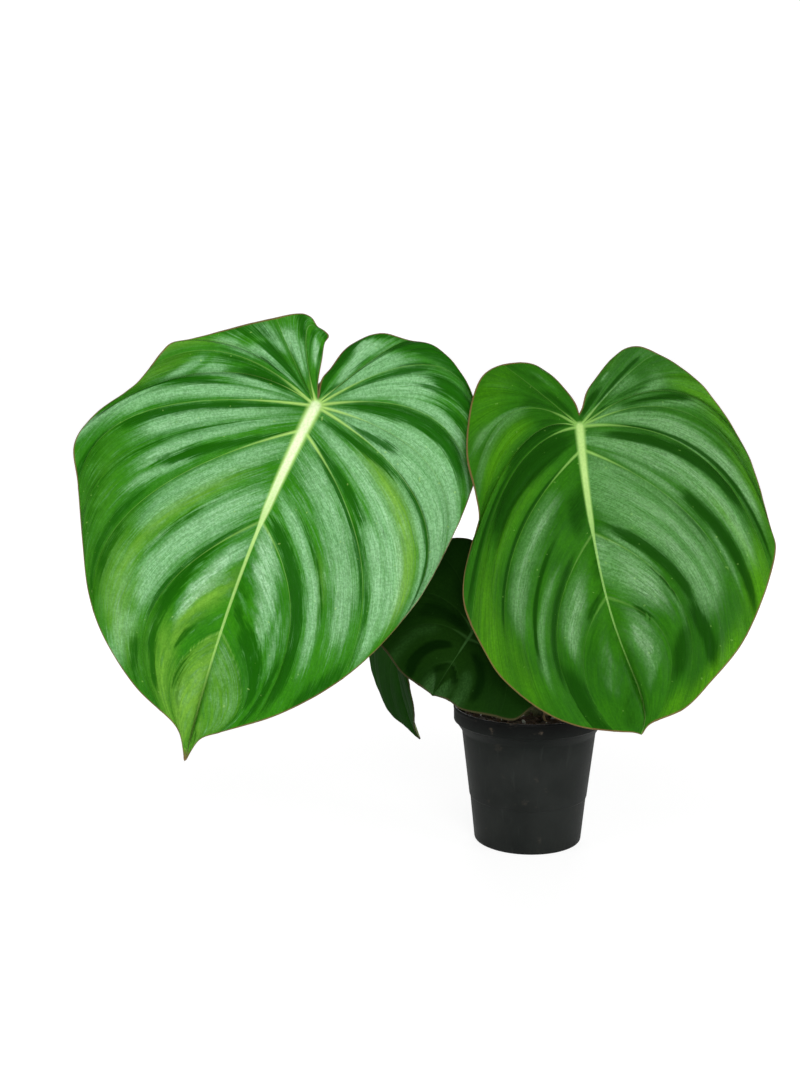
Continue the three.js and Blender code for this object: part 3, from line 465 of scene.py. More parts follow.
class BladeHalf:
    """Half a blade as strips between neighbouring veins: strip k lies between rays k and k + 1.

    Ray 0 is the edge of the notch, the last ray is the tip itself."""

    def __init__(self, leaf, side):
        self.leaf = leaf
        self.side = side
        self.outward = -1 if side == "left" else 1
        outline = [leaf["notch"], *leaf[side], (0, -leaf["length"])]
        self.margin = smooth_curve([(x, y, 0) for x, y in outline])
        self.margin_length = curve_length(self.margin)
        edge_end = leaf["edge_end"][0 if side == "left" else 1]
        self.rays = [(-1, edge_end, 0, 0), *self.own("veins"), (1, 1, 0, 0)]
        self.strips = len(self.rays) - 1
        self.half_width = max(abs(x) for x, _ in leaf["left"] + leaf["right"])

    def own(self, kind):
        """What the leaf has of one kind on this side."""
        return self.leaf.get(f"{self.side}_{kind}", ())

    def midrib_at(self, share):
        """Along the midrib: -1 at the notch, 0 where the petiole joins and 1 at the tip."""
        if share < 0:
            return Vector((*self.leaf["notch"], 0)) * -share
        bow = 4 * self.leaf["midrib_bow"] * share
        hook = HOOK_SCALE * self.leaf["midrib_hook"] * share ** 8
        return Vector(((bow + hook) * (1 - share), -self.leaf["length"] * share, 0))

    def line_at(self, line, along):
        """A line from the midrib to the margin, given in the same way as a vein."""
        start, end, bow, lean = line
        first = self.midrib_at(start)
        last = curve_at(self.margin, end)
        chord = last - first
        lift = 2 * bow * self.outward * Vector((-chord.y, chord.x, 0))
        control = first.lerp(last, 0.5 + lean) + lift
        return (1 - along) ** 2 * first + 2 * along * (1 - along) * control + along ** 2 * last

    def ray_at(self, k, along):
        if k == 0:
            return curve_at(self.margin, self.rays[0][1] * along)
        if k == self.strips:
            return self.midrib_at(1)
        return self.line_at(self.rays[k], along)

    def ray_length(self, k):
        return (self.ray_at(k, 1) - self.ray_at(k, 0)).length

    def span(self, k):
        """Length of the margin along strip k."""
        return (self.rays[k + 1][1] - self.rays[k][1]) * self.margin_length

    def plane_at(self, k, along, across):
        """A point of strip k: the lines turn gradually from one vein to the next, and the strip
        beside the notch is blended from its four edges."""
        if across == 0:
            return self.ray_at(k, along)
        if across == 1:
            return self.ray_at(k + 1, along)
        line = [between(a, b, across) for a, b in zip(self.rays[k], self.rays[k + 1])]
        if k > 0:
            return self.line_at(line, along)
        inner = self.midrib_at(line[0])
        outer = curve_at(self.margin, line[1])
        if along == 0:
            return inner
        if along == 1:
            return outer
        edges, corners_in, corners_out = (
            self.ray_at(0, place).lerp(self.ray_at(1, place), across) for place in (along, 0, 1))
        return edges + inner.lerp(outer, along) - corners_in.lerp(corners_out, along)

    def outward_at(self, share):
        """The direction out of the blade at a share of the margin."""
        if share <= 0:
            return Vector((0, 1, 0))
        if share >= 1:
            return Vector((0, -1, 0))
        ahead, behind = (curve_at(self.margin, share + s) for s in (MARGIN_STEP, -MARGIN_STEP))
        course = ahead - behind
        return Vector((-course.y, course.x, 0)).normalized() * self.outward

    def down(self, point):
        """How far down the blade a point lies: 0 where the petiole joins, 1 at the tip."""
        return min(max(-point.y / self.leaf["length"], 0), 1)

    def distances(self, k, along, across, point, width):
        """How far a point is from the nearest vein, the midrib and the margin, in millimetres."""
        from_vein = min(across, 1 - across) * width
        if point.y < 0:
            from_midrib = abs(point.x - self.midrib_at(self.down(point)).x)
        else:
            from_midrib = hypot(point.x, point.y)
        from_edge = (1 - along) * self.ray_length(k)
        if k == 0:
            from_vein = (1 - across) * width
            from_edge = min(from_edge, across * width)
        if k == self.strips - 1:
            from_vein = across * width
        return from_vein, from_midrib, from_edge

    def swelling(self, k, along, across, width):
        """How high a panel stands between its veins, with its folds and creases."""
        if not 0 < across < 1:
            return 0
        bulge = sin(pi * across) + self.own("skews")[k] * sin(2 * pi * across)
        phase = RELIEF["fold_phase"][self.side] + RELIEF["fold_phase_step"] * k
        for high, count, turns, slant in RELIEF["folds"]:
            angle = 2 * pi * count * across + turns * phase + slant * along
            bulge += high * sin(angle) * sin(pi * across)
        rise = 1 - exp(-along * self.leaf["length"] / RELIEF["rise"])
        calm = 1 - RELIEF["margin_calm"] * along ** 3
        swell = self.leaf["relief"] * width * bulge * rise * calm
        return swell - self.crease(k, along, across, width)

    def waves(self, point, from_vein, from_midrib):
        """Small irregular waves that die out towards the veins and the midrib."""
        waves = sum(high * noise.noise(point / size) for high, size in RELIEF["waves"])
        calm = min(1, from_vein / RELIEF["vein_calm"]) * min(1, from_midrib / RELIEF["midrib_calm"])
        return waves * self.leaf.get("waves", 1) * calm

    def bend(self, point):
        """The blade as a whole: halves rising from the midrib, drooping sides, a curled tip."""
        leaf = self.leaf
        reach = leaf["fold_reach"]
        valley = leaf["fold"] * reach * (1 - exp(-abs(point.x) / reach))
        sides = leaf["droop"] * (point.x / self.half_width) ** 2
        low = max(0, -point.y / leaf["length"] - RELIEF["curl_from"]) / (1 - RELIEF["curl_from"])
        return valley - sides - leaf["tip_curl"] * low ** 2

    def height(self, k, along, across, point, width, from_vein, from_midrib):
        """Height of the upper face over the blade's plane, in millimetres."""
        deep, wide = RELIEF["vein_groove"]
        groove = deep * (1 - along) * ridge(from_vein, wide)
        deep, wide = RELIEF["midrib_trough"]
        trough = deep * ridge(from_midrib, wide * self.leaf["length"])
        return (self.swelling(k, along, across, width) + self.bend(point)
                + self.waves(point, from_vein, from_midrib) - max(groove, trough))

    def depth(self, along, point, from_vein, from_midrib):
        """Thickness of the blade with the ribs that stand out of its lower face."""
        share = self.down(point)
        high, wide = RELIEF["midrib_rib"]
        midrib = between(*high, share) * ridge(from_midrib, between(*wide, share))
        high, wide = RELIEF["vein_rib"]
        vein = between(*high, along) * ridge(from_vein, wide)
        return BLADE["thickness"] + max(midrib, vein)

    def band(self, kind, k, along, across):
        """Strength, 0 to 1, of one kind of the strip's bands: painted shade, painted sheen, glow."""
        most = 0
        for strip, near, far, half, start, end, strength in self.own(kind):
            if strip == k:
                centre = between(near, far, (along - start) / (end - start))
                soft = min(BAND_FADE["most"], BAND_FADE["share"] * (end - start))
                fade = plateau(along, start, end, (-soft, soft), (-soft, soft))
                most = max(most, strength * fade * ridge(across - centre, half))
        return most

    def crease(self, k, along, across, width):
        """Depth of the sharp folds that run along a panel."""
        depth = 0
        for strip, near, far, start, end, deep, wide in self.own("creases"):
            if strip == k:
                centre = between(near, far, (along - start) / (end - start))
                fade = plateau(along, start, end, CREASE_FADE["in"], CREASE_FADE["out"])
                depth += deep * fade * ridge((across - centre) * width, wide)
        return depth

    def sheen_base(self, x, down):
        """Painted sheen apart from the bands: the halves and the tip pass softly over."""
        left, right, tip = self.leaf.get("sheen_base", (0, 0, 0))
        beside = between(left, right, smoothstep(*SHEEN_BASE_FADE["across"], x))
        return between(beside, tip, smoothstep(*SHEEN_BASE_FADE["down"], down))


def blade_frame(leaf):
    """The blade's own axes in the plant's frame."""
    turn = (Matrix.Rotation(radians(leaf["yaw"]), 4, "Z")
            @ Matrix.Rotation(radians(90 - leaf["pitch"]), 4, "X")
            @ Matrix.Rotation(radians(leaf["roll"]), 4, "Z"))
    return Matrix.Translation(Vector(leaf["at"])) @ turn


def blade(name, materials):
    leaf = LEAVES[name]
    bm = bmesh.new()
    for layer in BLADE_LAYERS:
        bm.verts.layers.float.new(layer)
    bm.loops.layers.uv.new("flow")
    halves = [BladeHalf(leaf, side) for side in ("left", "right")]
    rows = max(BLADE["fewest_rows"], round(leaf["length"] / BLADE["row"]))
    for half in halves:
        for k in range(half.strips):
            span = max(either.span(k) for either in halves)
            columns = max(BLADE["fewest_columns"], round(span / BLADE["column"]))
            blade_strip(bm, half, k, rows, columns)
    bmesh.ops.remove_doubles(bm, verts=bm.verts[:], dist=WELD)
    bmesh.ops.dissolve_degenerate(bm, edges=bm.edges[:], dist=FINE_WELD)
    bm.transform(blade_frame(leaf))
    return finish_mesh(bm, name + "_blade", materials)


def blade_strip(bm, half, k, rows, columns):
    """Both faces and the rounded rim of one strip."""
    layers = [bm.verts.layers.float[layer] for layer in BLADE_LAYERS]
    flow = bm.loops.layers.uv["flow"]
    flip = half.side == "right"

    @cache
    def spot(along, across):
        point = half.plane_at(k, along, across)
        width = (half.ray_at(k, along) - half.ray_at(k + 1, along)).length
        near = half.distances(k, along, across, point, width)
        top = half.height(k, along, across, point, width, *near[:2])
        depth = half.depth(along, point, *near[:2])
        down = -point.y / half.leaf["length"]
        # Painted shade, painted sheen and glow of the bands; the sheen base adds to the painted sheen
        shade, sheen, glow = (
            half.band(kind, k, along, across) for kind in ("shades", "sheens", "glows"))
        marks = (*near, along, down, across, shade, sheen + half.sheen_base(point.x, down), glow)
        return point, top, depth, marks

    def put(vertex, along, across, below, bulge=0):
        along = along ** BLADE["row_crowding"]
        if 0 < across < 1:
            across -= BLADE["column_crowding"] * sin(2 * pi * across) / (2 * pi)
        point, top, depth, marks = spot(along, across)
        vertex.co = (point.x, point.y, top - below * depth)
        if bulge:
            if k == 0 and along < 1:
                share = half.rays[0][1] * along
            else:
                share = between(half.rays[k][1], half.rays[k + 1][1], across)
            vertex.co += bulge * depth * half.outward_at(share)
        for layer, mark in zip(layers, marks):
            vertex[layer] = mark

    def mark_flow(faces, shares, material_index):
        span, ray, unit = half.span(k), half.ray_length(k), BLADE["flow_unit"]
        for face in faces:
            face.material_index = material_index
            for loop in face.loops:
                along, across = shares[loop.vert]
                place = across * span + BLADE["flow_apart"] * k
                loop[flow].uv = (along * ray / unit, place / unit)

    def rim(steps, on_edge):
        """Rounds off an edge; on_edge says where a share of it lies, along and across."""
        def place(vertex, around, share):
            below, bulge = (1 - cos(pi * around)) / 2, sin(pi * around) / 2
            put(vertex, *on_edge(share), below, bulge)

        faces, shares = grid_patch(bm, BLADE["rim_steps"], steps, place, flip)
        mark_flow(faces, {vertex: on_edge(share) for vertex, (_, share) in shares.items()}, 0)

    for below, upside_down in ((0, flip), (1, not flip)):
        faces, shares = grid_patch(
            bm, rows, columns, lambda v, a, b: put(v, a, b, below), upside_down)
        mark_flow(faces, shares, below)
    rim(columns, lambda share: (1, share))
    if k == 0:
        rim(rows, lambda share: (share, 0))


def petiole(name, leaf, material):
    """A stalk that swells at its base and where it bends into the blade."""
    bm = bmesh.new()
    thick = leaf["petiole_radius"]

    def radius_at(along, angle):
        base = 0.75 * exp(-along / 0.05)
        knee = 0.22 * ridge(along - 0.94, 0.05)
        taper = 1.08 - 0.22 * along
        groove = 0.06 * cos(2 * angle) * (1 - along)
        return thick * (taper + base + knee + groove)

    points = [Vector(p) for p in leaf["petiole"]]
    points[-1] = points[-2].lerp(points[-1], LAST_STRETCH)
    swept_tube(bm, points, radius_at, sides=20, steps=90)
    return finish_mesh(bm, name, [material])


# Pot

def rounded(corners):
    """A profile through corners (radius, height, rounding), each rounded off over that length."""
    path = [Vector(corners[0][:2])]
    for before, here, after in zip(corners, corners[1:], corners[2:]):
        corner = Vector(here[:2])
        start, end = (
            corner + (Vector(other[:2]) - corner).normalized() * here[2] for other in (before, after))
        for step in range(CORNER_STEPS + 1):
            t = step / CORNER_STEPS
            path.append(start.lerp(corner, t).lerp(corner.lerp(end, t), t))
    path.append(Vector(corners[-1][:2]))
    return path


def wall_radius(height):
    """The outer wall's radius below the shoulder."""
    return between(POT["foot_radius"], POT["shoulder_radius"], height / SHOULDER_FOOT)


def pot_profile():
    """From the underside up the outer wall, over the lip and down the inner wall."""
    top, rim, wall = POT["height"], POT["rim_radius"], POT["wall"]
    foot, step = POT["foot_radius"], POT["step_height"]
    step_rise, floor_ring = 0.6, 3
    return rounded([
        (foot - floor_ring, 0, 0),
        (foot, 0, POT["foot_round"]),
        (wall_radius(step) - POT["step_depth"], step, 0.2),
        (wall_radius(step + step_rise), step + step_rise, 0.2),
        (POT["shoulder_radius"], SHOULDER_FOOT, 1.2),
        (rim - 1.4, BAND_FOOT - 0.8, 0.6),
        (rim, BAND_FOOT, 0.5),
        (rim + 0.1, top - 3.2, 0.4),
        (rim + 0.45, top - 1, 0.8),
        (rim - 0.2, top, 0.6),
        (rim - wall, top - 0.4, 0.5),
        (rim - wall - 0.5, BAND_FOOT + 1, 0.8),
        (POT["shoulder_radius"] - wall, SHOULDER_FOOT - 0.5, 1.2),
        (foot - wall, POT["floor"], 1),
        (foot - wall - floor_ring, POT["floor"], 0),
    ])


def floor_with_holes(bm, height):
    """Fills the open ring at this height around the drainage holes and returns their edges."""
    ring = [edge for edge in bm.edges
            if edge.is_boundary and all(abs(v.co.z - height) < FINE_WELD for v in edge.verts)]
    holes = []
    for i in range(DRAIN["count"]):
        angle = (i + 0.5) * 2 * pi / DRAIN["count"]
        place = Vector((cos(angle), sin(angle), 0)) * DRAIN["ring_radius"]
        place.z = height
        circle = bmesh.ops.create_circle(
            bm, segments=DRAIN["sides"], radius=DRAIN["radius"], matrix=Matrix.Translation(place))
        holes.append(list({edge for vertex in circle["verts"] for edge in vertex.link_edges}))
    bmesh.ops.triangle_fill(bm, edges=ring + sum(holes, []), use_beauty=True)
    return holes


def pot(material):
    bm = bmesh.new()
    verts = [bm.verts.new((point.x, 0, point.y)) for point in pot_profile()]
    edges = [bm.edges.new(pair) for pair in zip(verts, verts[1:])]
    bmesh.ops.spin(bm, geom=verts + edges, cent=(0, 0, 0), axis=(0, 0, 1), angle=2 * pi,
                   steps=POT["sides"], use_merge=True)
    below = floor_with_holes(bm, 0)
    above = floor_with_holes(bm, POT["floor"])
    for lower, upper in zip(below, above):
        bmesh.ops.bridge_loops(bm, edges=lower + upper)
    bmesh.ops.recalc_face_normals(bm, faces=bm.faces[:])
    piece = finish_mesh(bm, "pot_shell", [material])
    piece.data.set_sharp_from_angle(angle=radians(POT["sharp_angle"]))
    return piece


# Potting mix

def soil_height(x, y):
    """Height of the potting mix: slow lumps, as in the frame, with coarse and fine crumbs."""
    lumps = (0.5 * sin(0.31 * x + 0.9) * cos(0.27 * y) + 0.3 * sin(0.53 * y + 0.34 * x)
             + 0.2 * cos(0.71 * x - 0.45 * y))
    height = SOIL["top"] + SOIL["bump"] * lumps
    for pitch, layer, high in SOIL["crumbs"]:
        height += high * noise.noise(Vector((pitch * x, pitch * y, layer)))
    return height


def potting_mix(material):
    """A plug of mix that fills the pot up to a lumpy top."""
    bm = bmesh.new()
    inner = POT["wall"] + SOIL["gap"]
    bottom = POT["floor"] + SOIL["gap"]
    side = [(0, bottom), (POT["foot_radius"] - inner - SOIL["wall_slack"], bottom),
            (POT["shoulder_radius"] - inner, SHOULDER_FOOT - SOIL["wall_slack"])]
    edge = POT["rim_radius"] - inner - SOIL["rim_slack"]
    steps = len(side) + SOIL["rings"]

    def place(vertex, around, share):
        angle = 2 * pi * around
        ring = round(share * steps)
        if ring < len(side):
            radius, height = side[ring]
        else:
            radius = edge * (1 - (ring - len(side)) / SOIL["rings"])
            height = soil_height(radius * cos(angle), radius * sin(angle))
        vertex.co = (radius * cos(angle), radius * sin(angle), height)

    grid_patch(bm, SOIL["sides"], steps, place)
    bmesh.ops.remove_doubles(bm, verts=bm.verts[:], dist=WELD)
    bmesh.ops.recalc_face_normals(bm, faces=bm.faces[:])
    return finish_mesh(bm, "potting_mix_fill", [material])


def scattered(draw):
    """A free place on the mix for a loose bit, or nothing where the stem lies."""
    radius = (POT["rim_radius"] - SOIL["bare_edge"]) * sqrt(draw.random())
    angle = draw.uniform(0, 2 * pi)
    x, y = radius * cos(angle), radius * sin(angle)
    half_length, middle, half_width = STEM["bed"]
    on_stem = abs(y - middle) < half_width and abs(x) < half_length
    return None if on_stem else Vector((x, y, soil_height(x, y)))


def roughen(verts, draw, amount):
    for vertex in verts:
        vertex.co += Vector(draw.uniform(-amount, amount) for _ in range(3))


def loose_bits(name, count, material, make):
    """Bits of one kind scattered over the mix; make puts one at a place."""
    bm = bmesh.new()
    draw = random.Random(f"{SEED} {name}")
    for _ in range(count):
        place = scattered(draw)
        if place:
            make(bm, draw, place)
    bmesh.ops.recalc_face_normals(bm, faces=bm.faces[:])
    return finish_mesh(bm, name, [material], smooth=False)


def bark_chip(bm, draw, place):
    long = draw.uniform(*CHIP["length"])
    size = (long, long * draw.uniform(*CHIP["width_share"]), draw.uniform(*CHIP["height"]))
    turn = Matrix.Rotation(draw.uniform(0, 2 * pi), 4, "Z")
    for axis, tilt in zip("XY", CHIP["tilt"]):
        turn = turn @ Matrix.Rotation(draw.gauss(0, tilt), 4, axis)
    lifted = Matrix.Translation(place + Vector((0, 0, CHIP["lift"] * size[2])))
    cube = bmesh.ops.create_cube(bm, size=1, matrix=lifted @ turn @ Matrix.Diagonal((*size, 1)))
    roughen(cube["verts"], draw, CHIP["rough"] * min(size[1], CHIP["rough_width"]))


def perlite_grain(bm, draw, place):
    radius = draw.uniform(*GRAIN["radius"])
    lifted = Matrix.Translation(place + Vector((0, 0, GRAIN["lift"] * radius)))
    grain = bmesh.ops.create_icosphere(bm, subdivisions=2, radius=radius, matrix=lifted)
    roughen(grain["verts"], draw, GRAIN["rough"] * radius)


def fibre(bm, draw, place):
    heading = draw.uniform(0, 2 * pi)
    stride = draw.uniform(*FIBRE["length"]) / FIBRE["joints"]
    points = []
    for step in range(FIBRE["joints"] + 1):
        heading += draw.gauss(0, FIBRE["turn"])
        arch = FIBRE["arch"] * sin(pi * step / FIBRE["joints"])
        points.append(place + Vector((0, 0, FIBRE["lift"] + arch)))
        place = place + stride * Vector((cos(heading), sin(heading), 0))
        limit = POT["rim_radius"] - FIBRE["bare_edge"]
        inside = min(1, limit / max(1, hypot(place.x, place.y)))
        place = Vector((place.x * inside, place.y * inside, 0))
        place.z = soil_height(place.x, place.y)
    swept_tube(bm, points, lambda along, angle: FIBRE["radius"] * (1.05 - along), sides=5, steps=9)


# Stem

def stem(material):
    """The short creeping stem, ringed by the scars of old leaves."""
    bm = bmesh.new()

    def radius_at(along, angle):
        ends = (1 - abs(2 * along - 1) ** 5) ** 0.5
        scars = 0.07 * abs(sin(STEM["scars"] * pi * along)) ** 0.35
        lumps = 0.05 * sin(3 * angle + 9 * along) + 0.03 * sin(7 * angle - 21 * along)
        return STEM["radius"] * max(0.02, ends * (0.9 + scars + lumps))

    swept_tube(bm, STEM["points"], radius_at, sides=32, steps=110)
    return finish_mesh(bm, "stem_bark", [material])


def aerial_roots(material):
    bm = bmesh.new()
    for points, thick in ROOTS:
        swept_tube(bm, points, lambda along, angle: thick * (1 - 0.35 * along), sides=12, steps=24)
    return finish_mesh(bm, "aerial_roots", [material])


def dry_sheaths(material):
    """Papery remains of the sheaths that wrapped each young leaf."""
    bm = bmesh.new()
    for foot, heading, length, width in SHEATHS:
        foot = Vector(foot)
        ahead = Vector((cos(radians(heading)), sin(radians(heading)), 0))
        across = Vector((-ahead.y, ahead.x, 0))

        def place(vertex, side, up):
            curl = (side - 0.5) * (1.9 - 0.6 * up)
            narrow = width * (1 - up ** 2.2) * (0.6 + 0.8 * up * (1 - up)) + 0.15
            lean = length * (0.12 * up + 0.4 * up * up)
            wave = 0.35 * sin(17 * side + 9 * up) * up
            forward = lean - narrow * cos(curl) + wave
            rise = length * (up - 0.25 * up * up)
            vertex.co = foot + across * narrow * sin(curl) + ahead * forward + Vector((0, 0, rise))

        grid_patch(bm, *SHEATH_STEPS, place)
    bmesh.ops.solidify(bm, geom=bm.faces[:], thickness=SHEATH_THICKNESS)
    bmesh.ops.recalc_face_normals(bm, faces=bm.faces[:])
    return finish_mesh(bm, "dry_sheaths", [material])


# Shader nodes

class Nodes:
    """Short hand for building one node tree."""

    def __init__(self, tree):
        self.tree = tree

    def plug(self, sockets, values):
        """Links or sets sockets by name or number. A colour that is set is opaque."""
        for key, value in values.items():
            socket = sockets[key]
            if isinstance(value, bpy.types.NodeSocket):
                self.tree.links.new(value, socket)
            elif socket.type == "RGBA":
                socket.default_value = (*value, 1)
            else:
                socket.default_value = value

    def add(self, kind, inputs=None, **settings):
        node = self.tree.nodes.new(kind)
        for setting, value in settings.items():
            setattr(node, setting, value)
        self.plug(node.inputs, inputs or {})
        return node

    def maths(self, operation, *values):
        return self.add("ShaderNodeMath", dict(enumerate(values)), operation=operation).outputs[0]

    def plus(self, *values):
        return reduce(partial(self.maths, "ADD"), values)

    def times(self, *values):
        return reduce(partial(self.maths, "MULTIPLY"), values)

    def weighted(self, *pairs):
        """The sum of values that are each multiplied by their weight."""
        return self.plus(*(self.times(value, weight) for value, weight in pairs))

    def blend(self, factor, first, second):
        inputs = {0: factor, 6: first, 7: second}
        return self.add("ShaderNodeMix", inputs, data_type="RGBA").outputs[2]

    def ramp(self, value, low, high, to_low=0.0, to_high=1.0, smooth=True):
        kind = "SMOOTHSTEP" if smooth else "LINEAR"
        inputs = {"Value": value, "From Min": low, "From Max": high,
                  "To Min": to_low, "To Max": to_high}
        return self.add("ShaderNodeMapRange", inputs, interpolation_type=kind).outputs[0]

    def attribute(self, name):
        return self.add("ShaderNodeAttribute", attribute_name=name).outputs["Fac"]

    def place(self):
        return self.add("ShaderNodeTexCoord").outputs["Object"]

    def flow(self, layer="flow"):
        return self.add("ShaderNodeUVMap", uv_map=layer).outputs[0]

    def noise(self, vector, scale, detail=3.0, roughness=0.55):
        """Noise of one scale, or drawn out into streaks by a scale for each axis."""
        if isinstance(scale, tuple):
            vector = self.add("ShaderNodeMapping", {"Vector": vector, "Scale": scale}).outputs[0]
            scale = 1.0
        inputs = {"Vector": vector, "Scale": scale, "Detail": detail, "Roughness": roughness}
        return self.add("ShaderNodeTexNoise", inputs).outputs["Fac"]

    def relief(self, height, strength, distance):
        inputs = {"Height": height, "Strength": strength, "Distance": distance}
        return self.add("ShaderNodeBump", inputs).outputs[0]


def node_group(name, inputs, outputs):
    """A group with these inputs, colours or numbers by their usual value, and these outputs."""
    tree = bpy.data.node_groups.new(name, "ShaderNodeTree")
    for socket, value in inputs.items():
        is_colour = isinstance(value, tuple)
        kind = "NodeSocketColor" if is_colour else "NodeSocketFloat"
        made = tree.interface.new_socket(socket, in_out="INPUT", socket_type=kind)
        made.default_value = (*value, 1) if is_colour else value
    for socket, kind in outputs.items():
        tree.interface.new_socket(socket, in_out="OUTPUT", socket_type=kind)
    into = tree.nodes.new("NodeGroupInput")
    out = tree.nodes.new("NodeGroupOutput")
    return Nodes(tree), into.outputs, out.inputs


# What the upper faces look like, unless a leaf has values of its own below
# Dark is the colour of the painted shade and of the grain's dark specks, Pale that of the painted
# sheen, and Yellowish that of the glows, partly the leaf's own colour and partly painted light.
LEAF_LOOK = {
    "Dark": (0.004, 0.05, 0.0015), "Deep": (0.01, 0.09, 0.004), "Fresh": (0.05, 0.24, 0.015),
    "Pale": (0.11, 0.31, 0.09), "Yellowish": (0.2, 0.4, 0.05), "Vein": (0.5, 0.72, 0.26),
    "Midrib": (0.75, 0.86, 0.55), "Margin": (0.17, 0.085, 0.04), "Midrib width": 3.0,
    "Roughness": 0.36, "Ragged": 1.0, "Streaks": 0.5, "Tip": 0.0,
}
# Each upper face: how bumpy and how glossy it is, and its look
LEAF_FACES = {
    "leaf_1": (0.9, 0.5, {
        "Dark": (0.008, 0.08, 0.002), "Deep": (0.018, 0.14, 0.004), "Fresh": (0.035, 0.21, 0.004),
        "Pale": (0.19, 0.445, 0.185), "Yellowish": (0.2, 0.42, 0.045), "Vein": (0.36, 0.6, 0.14),
        "Midrib": (0.74, 0.86, 0.53), "Midrib width": 4.4, "Roughness": 0.27, "Tip": 0.9}),
    "leaf_2": (0.7, 0.4, {
        "Dark": (0.006, 0.045, 0.002), "Deep": (0.013, 0.085, 0.004),
        "Fresh": (0.028, 0.155, 0.003), "Pale": (0.09, 0.26, 0.065),
        "Yellowish": (0.095, 0.32, 0.003), "Vein": (0.2, 0.4, 0.08), "Midrib": (0.4, 0.6, 0.18),
        "Midrib width": 3.1, "Roughness": 0.3, "Ragged": 0.5}),
    # leaf_3 and leaf_4 have much darker colours than the big leaves: painted shade, as they lie under
    # them
    "leaf_3": (0.15, 0.08, {
        "Dark": (0.002, 0.011, 0.001), "Deep": (0.004, 0.02, 0.002),
        "Fresh": (0.009, 0.037, 0.003), "Pale": (0.022, 0.075, 0.013),
        "Vein": (0.025, 0.075, 0.015), "Midrib": (0.03, 0.09, 0.02), "Margin": (0.05, 0.04, 0.02),
        "Midrib width": 1.1, "Roughness": 0.42, "Ragged": 0.3, "Streaks": 0.15}),
    "leaf_4": (0.15, 0.03, {
        "Dark": (0.003, 0.02, 0.001), "Deep": (0.005, 0.03, 0.002), "Fresh": (0.01, 0.05, 0.004),
        "Pale": (0.014, 0.06, 0.006), "Vein": (0.03, 0.09, 0.015), "Midrib": (0.04, 0.12, 0.02),
        "Margin": (0.05, 0.04, 0.02), "Midrib width": 1.2, "Roughness": 0.6, "Ragged": 0.3,
        "Streaks": 0.15}),
}


def leaf_pattern():
    """Colour with painted shade and sheen, glossiness and fine height of a blade's upper face, from
    the marks on its mesh.
    """
    nodes, given, result = node_group("leaf pattern", LEAF_LOOK, {
        "Color": "NodeSocketColor", "Roughness": "NodeSocketFloat", "Shine": "NodeSocketFloat",
        "Height": "NodeSocketFloat"})
    mark = {layer: nodes.attribute(layer) for layer in BLADE_LAYERS}
    flow = nodes.flow()
    place = nodes.place()
    texture = {
        "broad": nodes.noise(flow, (2.2, 26, 1)),
        "streaks": nodes.noise(flow, (4, 90, 1), 4.0, 0.65),
        "fine": nodes.noise(flow, (8, 210, 1), 2.0),
        "clouds": nodes.noise(place, 26.0, 3.0, 0.5),
        "patches": nodes.noise(place, 75.0, 4.0, 0.6),
        "grain": nodes.noise(place, 640.0, 2.0, 0.7),
        "dust": nodes.noise(place, 420.0, 0.0),
    }
    dark, light, warm = leaf_bands(nodes, given, mark, texture)
    green = leaf_panels(nodes, given, texture, dark, light, warm)
    green = leaf_side_veins(nodes, given, mark, green)
    strap, green = leaf_midrib(nodes, given, mark, texture, green)
    rough = nodes.plus(given["Roughness"], nodes.ramp(texture["streaks"], 0.3, 0.7, -0.05, 0.07),
                       nodes.times(strap, 0.15))
    # The reflection is strong in the painted sheen, weak elsewhere and weakest in the painted shade
    shine = nodes.times(nodes.ramp(light, 0.0, 1.0, 0.05, 1.0, smooth=False),
                        nodes.ramp(dark, 0.0, 1.0, 1.0, 0.05, smooth=False))
    height = nodes.weighted((texture["streaks"], 0.7), (texture["broad"], 0.5),
                            (texture["fine"], 0.25), (texture["grain"], 0.18))
    nodes.plug(result, {
        "Color": leaf_margin(nodes, given, mark, green), "Roughness": rough,
        "Shine": nodes.maths("MAXIMUM", shine, nodes.times(strap, 0.6)), "Height": height})
    return nodes.tree


def leaf_bands(nodes, given, mark, texture):
    """Bands of painted shade, painted sheen and yellowish glow, whose ends and edges the streaks push
    to and fro.
    """
    shares = {"broad": 0.7, "streaks": 1.4, "fine": 0.7, "patches": 0.5}
    pushes = [(nodes.maths("SUBTRACT", texture[name], 0.5), share)
              for name, share in shares.items()]
    ragged = nodes.times(nodes.weighted(*pushes), given["Ragged"])
    # A little painted shade just past each vein, where the panel rises steeply from it
    below_vein = nodes.ramp(mark["across"], 0.0, 0.3, 0.1, 0.0)
    dark = nodes.ramp(nodes.plus(mark["shade"], below_vein, ragged), 0.28, 0.8)
    light = nodes.times(nodes.ramp(nodes.maths("SUBTRACT", mark["sheen"], ragged), 0.12, 1.0),
                        nodes.ramp(texture["fine"], 0.35, 0.62, 0.55, 1.1),
                        nodes.ramp(texture["grain"], 0.35, 0.65, 0.82, 1.12))
    warm = nodes.times(mark["glow"], nodes.ramp(texture["streaks"], 0.3, 0.65, 0.4, 1.0))
    return dark, light, warm


